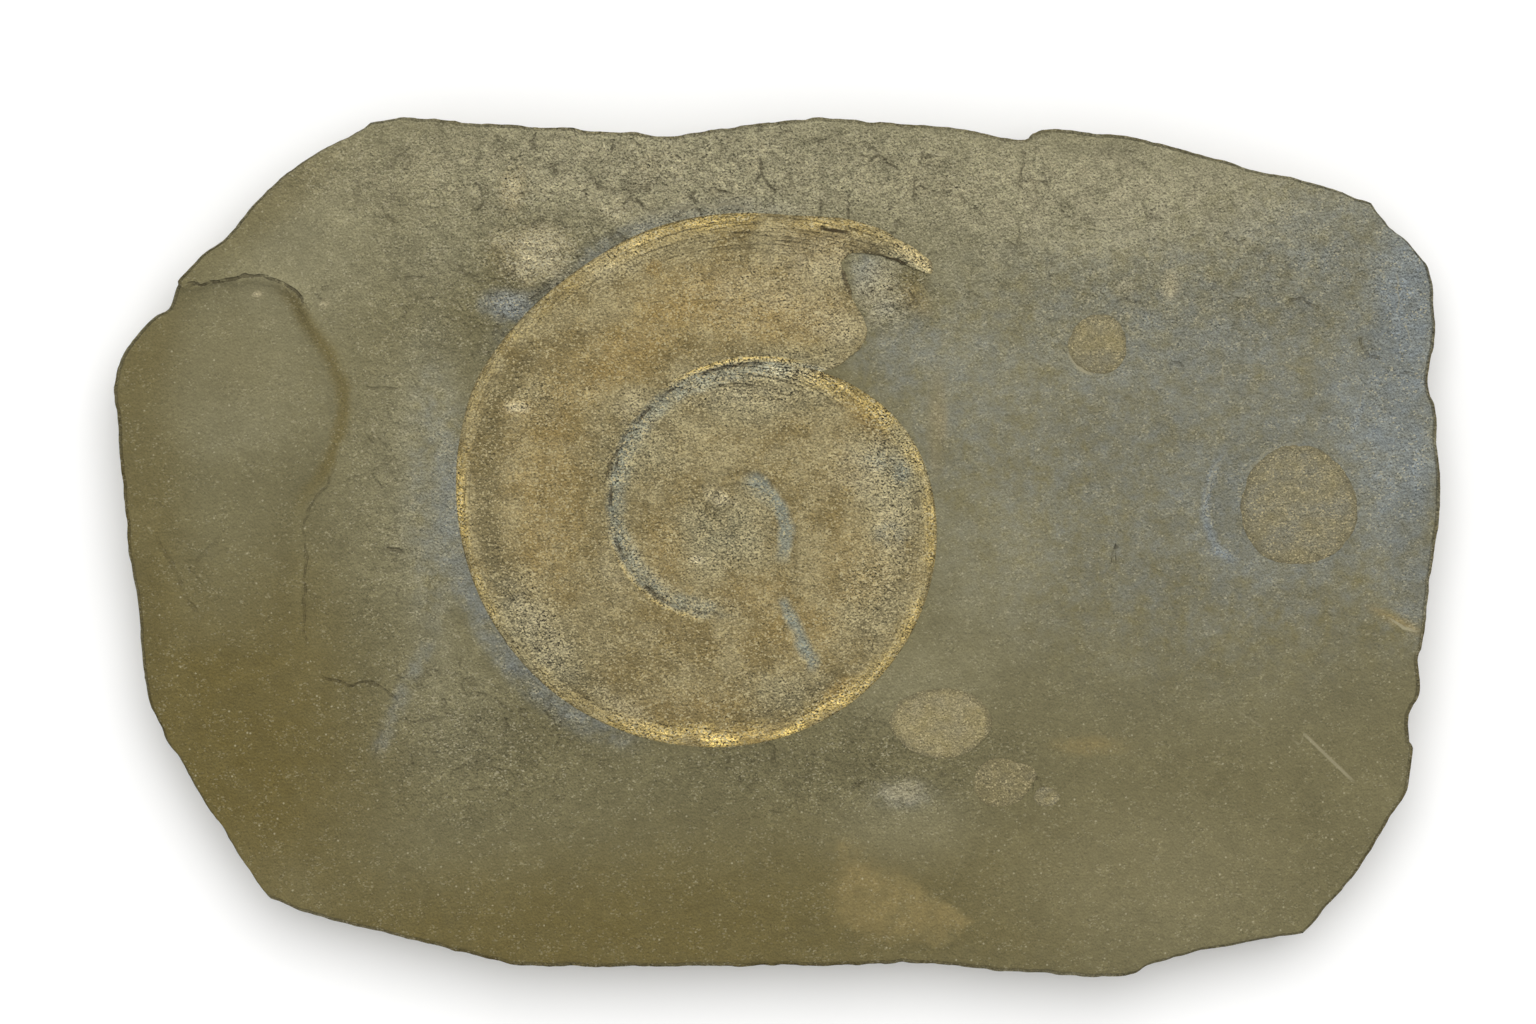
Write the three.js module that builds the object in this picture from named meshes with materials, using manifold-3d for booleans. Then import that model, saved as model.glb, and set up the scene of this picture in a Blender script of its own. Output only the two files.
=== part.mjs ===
// A dactylioceras ammonite pressed flat in a slab of grey-olive shale, with five small round shells.
// Millimetres, +Z up. The slab lies on its flat underside with the fossil face upwards.
// The origin is under the middle of the slab, on the underside.

import * as THREE from "three";
import { mergeVertices } from "three/addons/utils/BufferGeometryUtils.js";
import Module from "manifold-3d";

const wasm = await Module();
wasm.setup();

// Slab
const FACE = 13; // height of the shale face above the underside
const CELLS_LONG = 44; // facets of the face along X
const CELLS_WIDE = 32; // facets of the face along Y
const BENCH_DROP = 1; // depth of the lower bench at the left, behind the crack
const GAP = 0.3; // play between a fossil and the shale around it

// Ammonite
const COIL_CENTRE = new THREE.Vector2(-7.9, 4.1);
const LIP_ANGLE = 56; // degrees, where the mouth of the shell meets the whorl inside it
const COLUMNS_PER_TURN = 60;
const COLUMNS = 93; // columns of facets from the mouth to the core
const CROWN = 1.8; // height of the outer whorl above the shale
const BED = 2; // depth of the ammonite's bed in the shale
const CORE_OFFSET = 2; // the core's middle lies beside the coil's centre

// Small shells
const SHELL_BED = 0.8;
const SHELL_SIDES = 24;

// The slab's four broken edges, seen from above: bottom and top run left to right,
// left and right run bottom to top
const EDGE = {
  bottom: [
    [-78.1, -50.3], [-74.8, -53.5], [-67.3, -55.9], [-55.6, -58.6], [-42.7, -62], [-37.1, -63],
    [-17.6, -63], [0.8, -62.9], [19, -62.6], [32.9, -63.5], [50.5, -64.4], [56.3, -62.6],
    [64.9, -60.5], [78.7, -58],
  ],
  right: [
    [78.7, -58], [81.8, -54.8], [88.3, -46.1], [91.4, -41], [94.4, -36.5], [95.3, -30.7],
    [94.6, -29], [94.6, -25.3], [96.1, -22.3], [96.2, -19.9], [95.9, -16.4], [96.8, -13.4],
    [98.9, 2.6], [99.4, 7], [98.8, 18.8], [97.7, 24.4], [98.8, 31.1], [98.5, 36.5],
    [97.6, 41.3], [95.5, 44.8], [91.7, 48.2], [89, 51.7],
  ],
  top: [
    [-61.1, 63.8], [-57.8, 64.3], [-51.8, 64.3], [-32, 62.9], [-22.9, 62.2], [-17.2, 61.6],
    [-11.6, 62.3], [-4.1, 63.4], [2.6, 64.1], [8.2, 64.4], [23.8, 63.2], [35.8, 61.3],
    [38.2, 62.3], [41.5, 62.8], [52.1, 61.6], [71.9, 56.8], [82.7, 54.2], [89, 51.7],
  ],
  left: [
    [-78.1, -50.3], [-83.5, -42.2], [-89.3, -32.6], [-93.1, -25.9], [-95, -20.8], [-96.2, -7.7],
    [-97.7, 3.2], [-99.4, 22.1], [-99.4, 24.2], [-98.5, 28.1], [-97.1, 30.5], [-93.7, 34.3],
    [-91.4, 35.8], [-89.8, 39.4], [-89.5, 40.7], [-82.4, 46.7], [-79.7, 50], [-75.8, 54.2],
    [-70.9, 58.4], [-63.4, 62.2], [-61.1, 63.8],
  ],
};

// The crack that bounds the lower bench, closed beyond the slab's left edge
const BENCH = [
  [-104, 39.4], [-104, 3.7], [-94.1, 3.7], [-91, -2.2], [-88.7, -7.7], [-85.3, -11.6],
  [-85.7, -16.1], [-84.5, -21.5], [-74.6, -18.8], [-70.8, -17.6], [-71, 2], [-70.4, 6.1],
  [-67.1, 11.2], [-65.2, 15.1], [-63.7, 20.5], [-64, 24.5], [-66.5, 30], [-69.8, 34.6],
  [-71.9, 38.2], [-74.3, 39.8], [-78, 40.9], [-82, 40.3], [-89.8, 39.4],
];

// Height of each bedding layer on the slab's broken sides, as a share of the local height,
// and how far it stands back from the outline
const LAYERS = [[0.84, 0.5], [0.79, 0.1], [0.52, 0.9], [0.47, 0.4], [0.18, 1.2], [0, 2]];

// Soft hollows and swells of the shale face: place, half-sizes along X and Y, and rise
const SWELLS = [
  { x: -14, y: 49.5, a: 12, b: 3, rise: -0.5 }, // trough above the shell's upper rim
  { x: -23, y: 56, a: 6, b: 5, rise: -1 }, // scallop chips along the top
  { x: 4, y: 58, a: 7, b: 6, rise: -0.9 },
  { x: -52, y: 52, a: 16, b: 7, rise: 0.6 }, // ragged rise at the upper left
  { x: 35, y: 55, a: 9, b: 7, rise: 0.6 },
  { x: 50, y: 57, a: 7, b: 6, rise: -0.7 },
  { x: -42, y: -29, a: 10, b: 6, rise: -0.8 }, // rough scar at the lower left
  { x: -50, y: -37, a: 8, b: 4, rise: 0.4 },
  { x: 6, y: -33, a: 12, b: 4, rise: -0.4 },
  { x: 19, y: -53, a: 10, b: 6, rise: 0.4 }, // thin flake left on the lower edge
  { x: 68, y: 5, a: 5, b: 12, rise: -0.6 }, // scoop left of the large round shell
  { x: 96, y: 27, a: 9, b: 14, rise: -1.8 }, // worn right shoulder
  { x: 96, y: 0, a: 6, b: 12, rise: -1.1 },
  { x: -98, y: -18, a: 7, b: 20, rise: -1.2 }, // worn left shoulder
];

// Outer radius of the coil by angle, in degrees, turning inwards from the mouth
const COIL = [
  [48, 49.6], [57, 49.7], [66, 49.2], [72, 47.9], [78, 46.8], [90, 46], [105, 45], [120, 43.6],
  [140, 42.9], [150, 42.8], [160, 41.9], [180, 40], [220, 36.8], [260, 34.4], [320, 33],
  [375, 31.2], [390, 30], [420, 26.2], [440, 24.1], [480, 20.8], [520, 18.2], [560, 16.5],
  [640, 13.8], [660, 13], [700, 9.8], [740, 7.8], [780, 6.5], [840, 4.4], [900, 2.8], [980, 1.6],
];

// Angle where the shell ends, by place across the whorl from its inner seam (0) to its rim (1)
const LIP = [
  [0, 56], [0.1, 53.5], [0.2, 52], [0.35, 52.5], [0.45, 56.5], [0.55, 61], [0.65, 64.5],
  [0.78, 65], [0.84, 60], [0.89, 53], [0.94, 50], [1, 51],
];

// Section across a whorl: place from the inner seam to the rim, height as a share of the crown
const SECTION = [
  [0, -0.15], [0.07, 0.6], [0.18, 0.9], [0.36, 1], [0.55, 0.95], [0.7, 0.7], [0.8, 0.5],
  [0.87, 0.6], [0.93, 0.8], [0.97, 0.6], [1, 0.15],
];

// How much of the crown's height is left along the coil, by angle
const FADE = [[48, 0.9], [380, 1], [430, 0.75], [620, 0.6], [800, 0.45], [980, 0.35]];

// Small shells: place, half-sizes along X and Y, rise, and a corner that stands out of the round
const SHELLS = [
  { name: "round_shell_upper", x: 48.1, y: 30.5, a: 4.4, b: 4.5, rise: 0.5, corner: 0, turn: 0 },
  { name: "round_shell_right", x: 78.2, y: 6.2, a: 8.7, b: 9, rise: 0.7, corner: 0.03, turn: 150 },
  { name: "oval_shell_lower", x: 24.4, y: -26.3, a: 7.4, b: 5.3, rise: 0.5, corner: 0.08, turn: -5 },
  { name: "small_shell_lower", x: 33.5, y: -35.3, a: 4.2, b: 3.7, rise: 0.4, corner: 0.35, turn: 22 },
  { name: "tiny_shell_lower", x: 40.3, y: -37.4, a: 1.9, b: 1.5, rise: 0.35, corner: 0.1, turn: 10 },
];

const radians = THREE.MathUtils.degToRad;
const { lerp, smoothstep } = THREE.MathUtils;

// Smooth curve through [x, y] knots: cubic between them, level beyond the ends
function through(knots) {
  const slope = (i) => {
    const before = knots[Math.max(i - 1, 0)];
    const after = knots[Math.min(i + 1, knots.length - 1)];
    return (after[1] - before[1]) / (after[0] - before[0]);
  };
  return (x) => {
    if (x <= knots[0][0]) return knots[0][1];
    const i = knots.findIndex((knot) => x < knot[0]);
    if (i < 0) return knots.at(-1)[1];
    const [x0, y0] = knots[i - 1];
    const [x1, y1] = knots[i];
    const span = x1 - x0;
    const t = (x - x0) / span;
    const rising = (1 + 2 * t) * (1 - t) ** 2 * y0 + t * (1 - t) ** 2 * span * slope(i - 1);
    return rising + t ** 2 * (3 - 2 * t) * y1 + t ** 2 * (t - 1) * span * slope(i);
  };
}

const coilRadius = through(COIL);
const lipAngle = through(LIP);
const whorlSection = through(SECTION);
const crownFade = through(FADE);

// Points and facets of one closed solid
class Facets {
  points = [];
  faces = [];

  add(x, y, z) {
    return this.points.push(x, y, z) / 3 - 1;
  }

  quad(a, b, c, d) {
    this.faces.push(a, b, c, a, c, d);
  }

  fan(middle, loop) {
    for (let i = 0; i + 1 < loop.length; i++) this.faces.push(middle, loop[i], loop[i + 1]);
  }

  // Where a corner lies, seen from above
  plan(index) {
    return new THREE.Vector2(this.points[3 * index], this.points[3 * index + 1]);
  }

  // A wall from an upper loop down to a lower one; both turn counter-clockwise from above
  wall(upper, lower) {
    for (let i = 0; i < upper.length; i++) {
      const next = (i + 1) % upper.length;
      this.quad(lower[i], lower[next], upper[next], upper[i]);
    }
  }

  // A straight wall from a loop down to a level, and the flat face under it
  closeBelow(loop, level) {
    const outline = loop.map((index) => this.plan(index));
    const low = outline.map(({ x, y }) => this.add(x, y, level));
    this.wall(loop, low);
    this.floor(low);
  }

  floor(loop) {
    const outline = loop.map((index) => this.plan(index));
    for (const [a, b, c] of THREE.ShapeUtils.triangulateShape(outline, [])) {
      this.faces.push(loop[a], loop[c], loop[b]);
    }
  }

  geometry() {
    const geometry = new THREE.BufferGeometry();
    geometry.setAttribute("position", new THREE.Float32BufferAttribute(this.points, 3));
    geometry.setIndex(this.faces);
    return geometry;
  }
}

// Uneven lumps about as wide as the given wave, between -1 and 1
function lumps(x, y, wave) {
  const turn = (2 * Math.PI) / wave;
  const first = Math.sin(turn * (x + 0.4 * y));
  const second = Math.sin(turn * (1.25 * (0.7 * y - 0.6 * x) + 3));
  const third = Math.sin(turn * (1.6 * y + 0.35 * x));
  return (first + second + third) / 3;
}

function swell({ x: midX, y: midY, a, b, rise }, x, y) {
  const distance = Math.hypot((x - midX) / a, (y - midY) / b);
  return rise * (1 - smoothstep(distance, 0.3, 1.3));
}

// Height of the shale face: slow rolls, a flaked upper band, hollows and swells
function shaleHeight(x, y) {
  const flaked = smoothstep(y, 30, 58) * (1 - smoothstep(x, 40, 80));
  const rolls = 0.25 * lumps(x, y, 62) + (0.1 + 0.45 * flaked) * lumps(x, y, 17);
  return SWELLS.reduce((height, item) => height + swell(item, x, y), FACE + rolls);
}

// Outward shift of each corner of a counter-clockwise outline, so that its edges move by one unit
function miters(outline) {
  return outline.map((point, i) => {
    const before = outline.at(i - 1);
    const after = outline[(i + 1) % outline.length];
    const in_ = point.clone().sub(before).normalize();
    const out = after.clone().sub(point).normalize();
    const normal = new THREE.Vector2(in_.y + out.y, -in_.x - out.x);
    return normal.divideScalar(Math.max(1 + in_.dot(out), 0.25));
  });
}

function grow(outline, amount) {
  const shifts = miters(outline);
  return outline.map((point, i) => point.clone().addScaledVector(shifts[i], amount));
}

// One broken edge as evenly spaced points
function edgePoints(name, cells) {
  const knots = EDGE[name].map(([x, y]) => new THREE.Vector2(x, y));
  return new THREE.SplineCurve(knots).getSpacedPoints(cells);
}

// The face's corners in plan: four edges blended across the face, row by row from the bottom
function facePlan() {
  const bottom = edgePoints("bottom", CELLS_LONG);
  const top = edgePoints("top", CELLS_LONG);
  const left = edgePoints("left", CELLS_WIDE);
  const right = edgePoints("right", CELLS_WIDE);
  return left.map((start, row) => bottom.map((low, column) => {
    const u = column / CELLS_LONG;
    const v = row / CELLS_WIDE;
    const blend = (axis) => {
      const along = lerp(low[axis], top[column][axis], v) + lerp(start[axis], right[row][axis], u);
      const lowCorners = lerp(bottom[0][axis], bottom.at(-1)[axis], u);
      const highCorners = lerp(top[0][axis], top.at(-1)[axis], u);
      return along - lerp(lowCorners, highCorners, v);
    };
    return new THREE.Vector2(blend("x"), blend("y"));
  }));
}

// Border of the face as one counter-clockwise loop of corner numbers
function faceBorder(rows) {
  const bottom = rows[0].slice(0, -1);
  const right = rows.slice(0, -1).map((row) => row.at(-1));
  const top = rows.at(-1).slice(1).reverse();
  const left = rows.slice(1).map((row) => row[0]).reverse();
  return [...bottom, ...right, ...top, ...left];
}

// The whole slab before anything is cut into it
function rawSlab() {
  const facets = new Facets();
  const rows = facePlan().map((row) => row.map(({ x, y }) => facets.add(x, y, shaleHeight(x, y))));
  for (let row = 0; row < CELLS_WIDE; row++) {
    for (let column = 0; column < CELLS_LONG; column++) {
      const [low, high] = [rows[row], rows[row + 1]];
      facets.quad(low[column], low[column + 1], high[column + 1], high[column]);
    }
  }
  const border = faceBorder(rows);
  const outline = border.map((index) => facets.plan(index));
  const heights = border.map((index) => facets.points[3 * index + 2]);
  let upper = border;
  for (const [share, standBack] of LAYERS) {
    const inset = outline.map(({ x, y }) => standBack * (0.7 + 0.5 * lumps(x, y, 21)));
    const shifts = miters(outline);
    const lower = outline.map((point, i) => {
      const { x, y } = point.clone().addScaledVector(shifts[i], -inset[i]);
      return facets.add(x, y, share * heights[i]);
    });
    facets.wall(upper, lower);
    upper = lower;
  }
  facets.floor(upper);
  return facets.geometry();
}

// The whorls as one strip of facets: columns follow the coil inwards, levels go from the inner
// seam to the rim, and the inner seam of one turn is the rim of the next
function ammoniteFacets() {
  const facets = new Facets();
  const step = 360 / COLUMNS_PER_TURN;
  const last = SECTION.length - 1;
  const columns = [];
  for (let column = 0; column <= COLUMNS; column++) {
    const levels = SECTION.map(([across], level) => {
      if (level === last && column >= COLUMNS_PER_TURN) return columns[column - COLUMNS_PER_TURN][0];
      const nominal = LIP_ANGLE + column * step;
      const nearLip = 1 - smoothstep(nominal, LIP_ANGLE, LIP_ANGLE + 22);
      const angle = nominal + nearLip * (lipAngle(across) - LIP_ANGLE);
      const radius = lerp(coilRadius(angle + 360), coilRadius(angle), across);
      const x = COIL_CENTRE.x + radius * Math.cos(radians(angle));
      const y = COIL_CENTRE.y + radius * Math.sin(radians(angle));
      const beak = smoothstep(across, 0.84, 0.9);
      const ending = lerp(1, Math.max(0.2, 0.8 * beak), nearLip ** 2);
      const height = CROWN * crownFade(angle) * whorlSection(across) * ending;
      return facets.add(x, y, FACE + height + 0.12 * lumps(x, y, 8));
    });
    columns.push(levels);
  }
  for (let column = 0; column < COLUMNS; column++) {
    const [here, next] = [columns[column], columns[column + 1]];
    for (let level = 0; level < last; level++) {
      facets.quad(here[level], here[level + 1], next[level + 1], next[level]);
    }
  }
  const end = columns[COLUMNS];
  const innermost = columns.slice(COLUMNS - COLUMNS_PER_TURN).map((levels) => levels[0]);
  const side = radians(LIP_ANGLE + COLUMNS * step + 90);
  const middle = facets.add(
    COIL_CENTRE.x + CORE_OFFSET * Math.cos(side),
    COIL_CENTRE.y + CORE_OFFSET * Math.sin(side),
    FACE + 0.5 * CROWN,
  );
  facets.fan(middle, [...innermost, ...end.slice(1)]);
  const rim = columns.slice(0, COLUMNS_PER_TURN).map((levels) => levels[last]);
  const mouth = columns[0].slice(0, last);
  return { facets, outline: [...rim, ...mouth] };
}

// One small shell: a low dome with an uneven round outline
function shellOutline({ x, y, a, b, corner, turn }, share) {
  return Array.from({ length: SHELL_SIDES }, (_, i) => {
    const angle = (i / SHELL_SIDES) * 2 * Math.PI;
    const toCorner = Math.cos(angle - radians(turn));
    const uneven = 1 + 0.03 * Math.sin(3 * angle + x) + corner * Math.max(toCorner, 0) ** 12;
    return new THREE.Vector2(
      x + share * uneven * a * Math.cos(angle),
      y + share * uneven * b * Math.sin(angle),
    );
  });
}

function shellFacets(shell) {
  const facets = new Facets();
  const ground = shaleHeight(shell.x, shell.y);
  const ring = (share, height) => (
    shellOutline(shell, share).map(({ x, y }) => facets.add(x, y, ground + height))
  );
  const edge = ring(1, 0.35 * shell.rise);
  const shoulder = ring(0.8, 0.9 * shell.rise);
  const middle = facets.add(shell.x, shell.y, ground + shell.rise);
  facets.wall(shoulder, edge);
  facets.fan(middle, [...shoulder, shoulder[0]]);
  facets.closeBelow(edge, ground - SHELL_BED + GAP);
  return facets;
}

// A solid for cutting, from a closed geometry
function toSolid(geometry) {
  const bare = geometry.clone();
  bare.deleteAttribute("normal");
  bare.deleteAttribute("uv");
  const merged = mergeVertices(bare, 1e-4);
  return new wasm.Manifold(new wasm.Mesh({
    numProp: 3,
    vertProperties: new Float32Array(merged.attributes.position.array),
    triVerts: new Uint32Array(merged.index.array),
  }));
}

function fromSolid(solid) {
  const { vertProperties, triVerts } = solid.getMesh();
  const geometry = new THREE.BufferGeometry();
  geometry.setAttribute("position", new THREE.BufferAttribute(vertProperties, 3));
  geometry.setIndex(new THREE.BufferAttribute(triVerts, 1));
  return geometry;
}

// An upright cut with the given outline, from a level up past the face
function cutter(outline, level) {
  const shape = new THREE.Shape(outline);
  const geometry = new THREE.ExtrudeGeometry(shape, { depth: FACE, bevelEnabled: false });
  return toSolid(geometry.translate(0, 0, level));
}

// The slab with its lower bench and a bed for every fossil
function slabGeometry(ammoniteOutline) {
  const bench = BENCH.map(([x, y]) => new THREE.Vector2(x, y));
  const beds = SHELLS.map((shell) => (
    cutter(grow(shellOutline(shell, 1), GAP), shaleHeight(shell.x, shell.y) - SHELL_BED)
  ));
  const cuts = [
    cutter(bench, FACE - BENCH_DROP),
    cutter(grow(ammoniteOutline, GAP), FACE - BED),
    ...beds,
  ];
  return fromSolid(cuts.reduce((slab, cut) => slab.subtract(cut), toSolid(rawSlab())));
}

function piece(name, geometry, color, roughness) {
  const flat = geometry.toNonIndexed();
  flat.computeVertexNormals();
  const material = new THREE.MeshStandardMaterial({ color, roughness, metalness: 0 });
  const mesh = new THREE.Mesh(flat, material);
  mesh.name = name;
  return mesh;
}

const { facets: ammonite, outline: ammoniteLoop } = ammoniteFacets();
const ammoniteOutline = ammoniteLoop.map((index) => ammonite.plan(index));
ammonite.closeBelow(ammoniteLoop, FACE - BED + GAP);

const fossil = new THREE.Group();
fossil.add(piece("shale_slab", slabGeometry(ammoniteOutline), 0x7d765a, 0.85));
fossil.add(piece("ammonite", ammonite.geometry(), 0x9c8a5c, 0.7));
for (const shell of SHELLS) {
  fossil.add(piece(shell.name, shellFacets(shell).geometry(), 0x8c8266, 0.75));
}

// The slab's outline is centred over the origin
const middle = new THREE.Box3().setFromObject(fossil.children[0]).getCenter(new THREE.Vector3());
fossil.position.set(-middle.x, -middle.y, 0);

export default fossil;
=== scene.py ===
"""A dactylioceras ammonite pressed flat in a slab of grey-olive shale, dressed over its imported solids.

The face is up, +X along the slab, +Y towards the ammonite's mouth. Sizes here are millimetres
in the part's frame and become metres when a mesh is made.
"""

import functools
import logging
import math
from dataclasses import dataclass, field
from enum import Enum

import bpy
import numpy as np
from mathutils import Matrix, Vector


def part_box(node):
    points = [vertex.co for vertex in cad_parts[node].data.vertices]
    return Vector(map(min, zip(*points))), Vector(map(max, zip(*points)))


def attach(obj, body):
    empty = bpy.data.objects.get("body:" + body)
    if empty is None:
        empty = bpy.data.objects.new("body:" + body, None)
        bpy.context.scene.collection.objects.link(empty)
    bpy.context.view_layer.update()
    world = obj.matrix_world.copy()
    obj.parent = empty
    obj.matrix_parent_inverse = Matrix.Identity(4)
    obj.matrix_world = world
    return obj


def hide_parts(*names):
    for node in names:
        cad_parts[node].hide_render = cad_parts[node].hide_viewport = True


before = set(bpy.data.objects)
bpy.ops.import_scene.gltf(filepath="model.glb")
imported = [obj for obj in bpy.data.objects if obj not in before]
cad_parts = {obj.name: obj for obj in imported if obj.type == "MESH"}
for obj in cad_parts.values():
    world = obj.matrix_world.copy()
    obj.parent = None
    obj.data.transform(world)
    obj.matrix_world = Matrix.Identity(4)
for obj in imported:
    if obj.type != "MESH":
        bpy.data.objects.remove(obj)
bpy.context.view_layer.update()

LOG = logging.getLogger("fossil")

MM = 0.001
FACE = 13.0  # height of the shale face above the underside
BENCH_DROP = 1.0  # depth of the lower bench at the left
BED = 2.0  # depth of the ammonite's bed
GAP = 0.3  # play between a fossil and its bed in the solids
COIL_CENTRE = (-7.9, 4.1)
COIL_START = 48  # degrees, where the first turn of the coil is counted from
LIP_ANGLE = 56.0  # degrees, where the mouth meets the whorl inside it
INNER_START = 412  # degrees, where the inner whorl's own rim begins
CROWN = 1.8  # height of the outer whorl above the shale
LIT = 0.76  # a finish's own colour as a share of its look under the studio's light
PIT_COLOUR = (74, 66, 46)  # the dark between grains
GRAIN_LEVEL = 0.426  # shade of the grain that leaves a colour about as it is
GRAIN_MEAN = 0.978  # what the grain leaves of a colour there

Array = np.ndarray
Colour = tuple[float, float, float]
Points = list[tuple[float, float]]


class Mask(Enum):
    """Named masks that a piece's mesh carries and its finish reads."""

    GREY = "grey_shale"
    # brown shale, and on the slab also the painted shade along the bench's step
    BROWN_AND_SHADE = "brown_shale_and_shade"
    # blue-grey, a painted cool sheen on the shale, and on the ammonite its bare scar and arc
    BLUE_TINT_AND_SHEEN = "blue_tint_and_sheen"
    GOLD = "gold_stain"
    ROUGH = "flaked"
    SIDE = "broken_side"
    # cracks, and on the ammonite also the painted shadow under the inner rim
    CRACK_AND_SHADOW_SIDE = "crack_and_shadow_side"
    CRACK_AND_SHADOW_NEAR = "crack_and_shadow_near"
    SCRATCH_SIDE = "scratch_side"
    SCRATCH_NEAR = "scratch_near"
    RIM = "rim"
    GROOVE = "groove"
    # painted light and shade: paler where a piece stands proud, darker in its hollows
    RELIEF_LIGHT_AND_SHADE = "raised"
    PALE = "pale_crumbs"


# The slab's four broken edges, seen from above: bottom and top run left to right,
# left and right run bottom to top
EDGE: dict[str, Points] = {
    "bottom": [
        (-78.1, -50.3), (-74.8, -53.5), (-67.3, -55.9), (-55.6, -58.6), (-42.7, -62), (-37.1, -63),
        (-17.6, -63), (0.8, -62.9), (19, -62.6), (32.9, -63.5), (50.5, -64.4), (56.3, -62.6),
        (64.9, -60.5), (78.7, -58),
    ],
    "right": [
        (78.7, -58), (81.8, -54.8), (88.3, -46.1), (91.4, -41), (94.4, -36.5), (95.3, -30.7),
        (94.6, -29), (94.6, -25.3), (96.1, -22.3), (96.2, -19.9), (95.9, -16.4), (96.8, -13.4),
        (98.9, 2.6), (99.4, 7), (98.8, 18.8), (97.7, 24.4), (98.8, 31.1), (98.5, 36.5),
        (97.6, 41.3), (95.5, 44.8), (91.7, 48.2), (89, 51.7),
    ],
    "top": [
        (-61.1, 63.8), (-57.8, 64.3), (-51.8, 64.3), (-32, 62.9), (-22.9, 62.2), (-17.2, 61.6),
        (-11.6, 62.3), (-4.1, 63.4), (2.6, 64.1), (8.2, 64.4), (23.8, 63.2), (35.8, 61.3),
        (38.2, 62.3), (41.5, 62.8), (52.1, 61.6), (71.9, 56.8), (82.7, 54.2), (89, 51.7),
    ],
    "left": [
        (-78.1, -50.3), (-83.5, -42.2), (-89.3, -32.6), (-93.1, -25.9), (-95, -20.8), (-96.2, -7.7),
        (-97.7, 3.2), (-99.4, 22.1), (-99.4, 24.2), (-98.5, 28.1), (-97.1, 30.5), (-93.7, 34.3),
        (-91.4, 35.8), (-89.8, 39.4), (-89.5, 40.7), (-82.4, 46.7), (-79.7, 50), (-75.8, 54.2),
        (-70.9, 58.4), (-63.4, 62.2), (-61.1, 63.8),
    ],
}

# The crack that bounds the lower bench, closed beyond the slab's left edge
BENCH: Points = [
    (-104, 39.4), (-104, 3.7), (-94.1, 3.7), (-91, -2.2), (-88.7, -7.7), (-85.3, -11.6),
    (-85.7, -16.1), (-84.5, -21.5), (-74.6, -18.8), (-70.8, -17.6), (-71, 2), (-70.4, 6.1),
    (-67.1, 11.2), (-65.2, 15.1), (-63.7, 20.5), (-64, 24.5), (-66.5, 30), (-69.8, 34.6),
    (-71.9, 38.2), (-74.3, 39.8), (-78, 40.9), (-82, 40.3), (-89.8, 39.4),
]

# Share of the local height and how far the broken side stands back there, from the top down
LAYERS: Points = [(1, 0), (0.84, 0.5), (0.79, 0.1), (0.52, 0.9), (0.47, 0.4), (0.18, 1.2), (0, 2)]

# Outer radius of the coil by angle, in degrees, turning inwards from the mouth
COIL: Points = [
    (48, 49.6), (57, 49.7), (66, 49.2), (72, 47.9), (78, 46.8), (90, 46), (105, 45), (120, 43.6),
    (140, 42.9), (150, 42.8), (160, 41.9), (180, 40), (220, 36.8), (260, 34.4), (320, 33),
    (375, 31.2), (390, 30), (420, 26.2), (440, 24.1), (480, 20.8), (520, 18.2), (560, 16.5),
    (640, 13.8), (660, 13), (700, 9.8), (740, 7.8), (780, 6.5), (840, 4.4), (900, 2.8), (980, 1.6),
]

# Angle where the shell ends, by place across the whorl from its inner seam (0) to its rim (1)
LIP: Points = [
    (0, 56), (0.1, 53.5), (0.2, 52), (0.35, 52.5), (0.45, 56.5), (0.55, 61), (0.65, 64.5),
    (0.78, 65), (0.84, 60), (0.89, 53), (0.94, 50), (1, 51),
]

# Section across a whorl: place from the inner seam to the rim, height as a share of the crown
SECTION: Points = [
    (0, 0.2), (0.05, 0.45), (0.12, 0.72), (0.24, 0.92), (0.36, 0.97), (0.55, 0.9), (0.7, 0.62),
    (0.8, 0.42), (0.86, 0.4), (0.905, 0.45), (0.95, 0.37), (0.98, 0.2), (1, -0.03),
]

# Height of the seam inside a whorl as a share of the crown, by that whorl's angle
SEAM: Points = [
    (48, 0.25), (70, 0.16), (120, 0.12), (250, 0.2), (285, 0.5), (325, 0.75), (345, 0.5),
    (395, 0.45), (425, 0.85), (900, 0.9),
]

# How golden the rim is, and how wide its golden band, by angle
RIM_TONE: Points = [
    (48, 0.25), (62, 0.4), (85, 0.75), (98, 0.65), (116, 0.3), (140, 0.15), (162, 0.3), (182, 1.15),
    (205, 0.5), (240, 0.55), (252, 0.7), (268, 1.2), (290, 1.15), (303, 0.75), (325, 0.6),
    (372, 0.55), (395, 0.75), (420, 0.8),
]
RIM_WIDTH: Points = [
    (48, 2), (80, 2.4), (110, 3.4), (150, 2.2), (170, 1.6), (200, 1.5), (235, 2.6), (270, 3.6),
    (300, 3), (330, 2.2), (360, 2), (400, 3), (420, 3),
]

# How much of the crown's height is left along the coil, by angle
FADE: Points = [(48, 0.9), (380, 1), (430, 0.75), (620, 0.6), (800, 0.45), (980, 0.35)]


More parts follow.
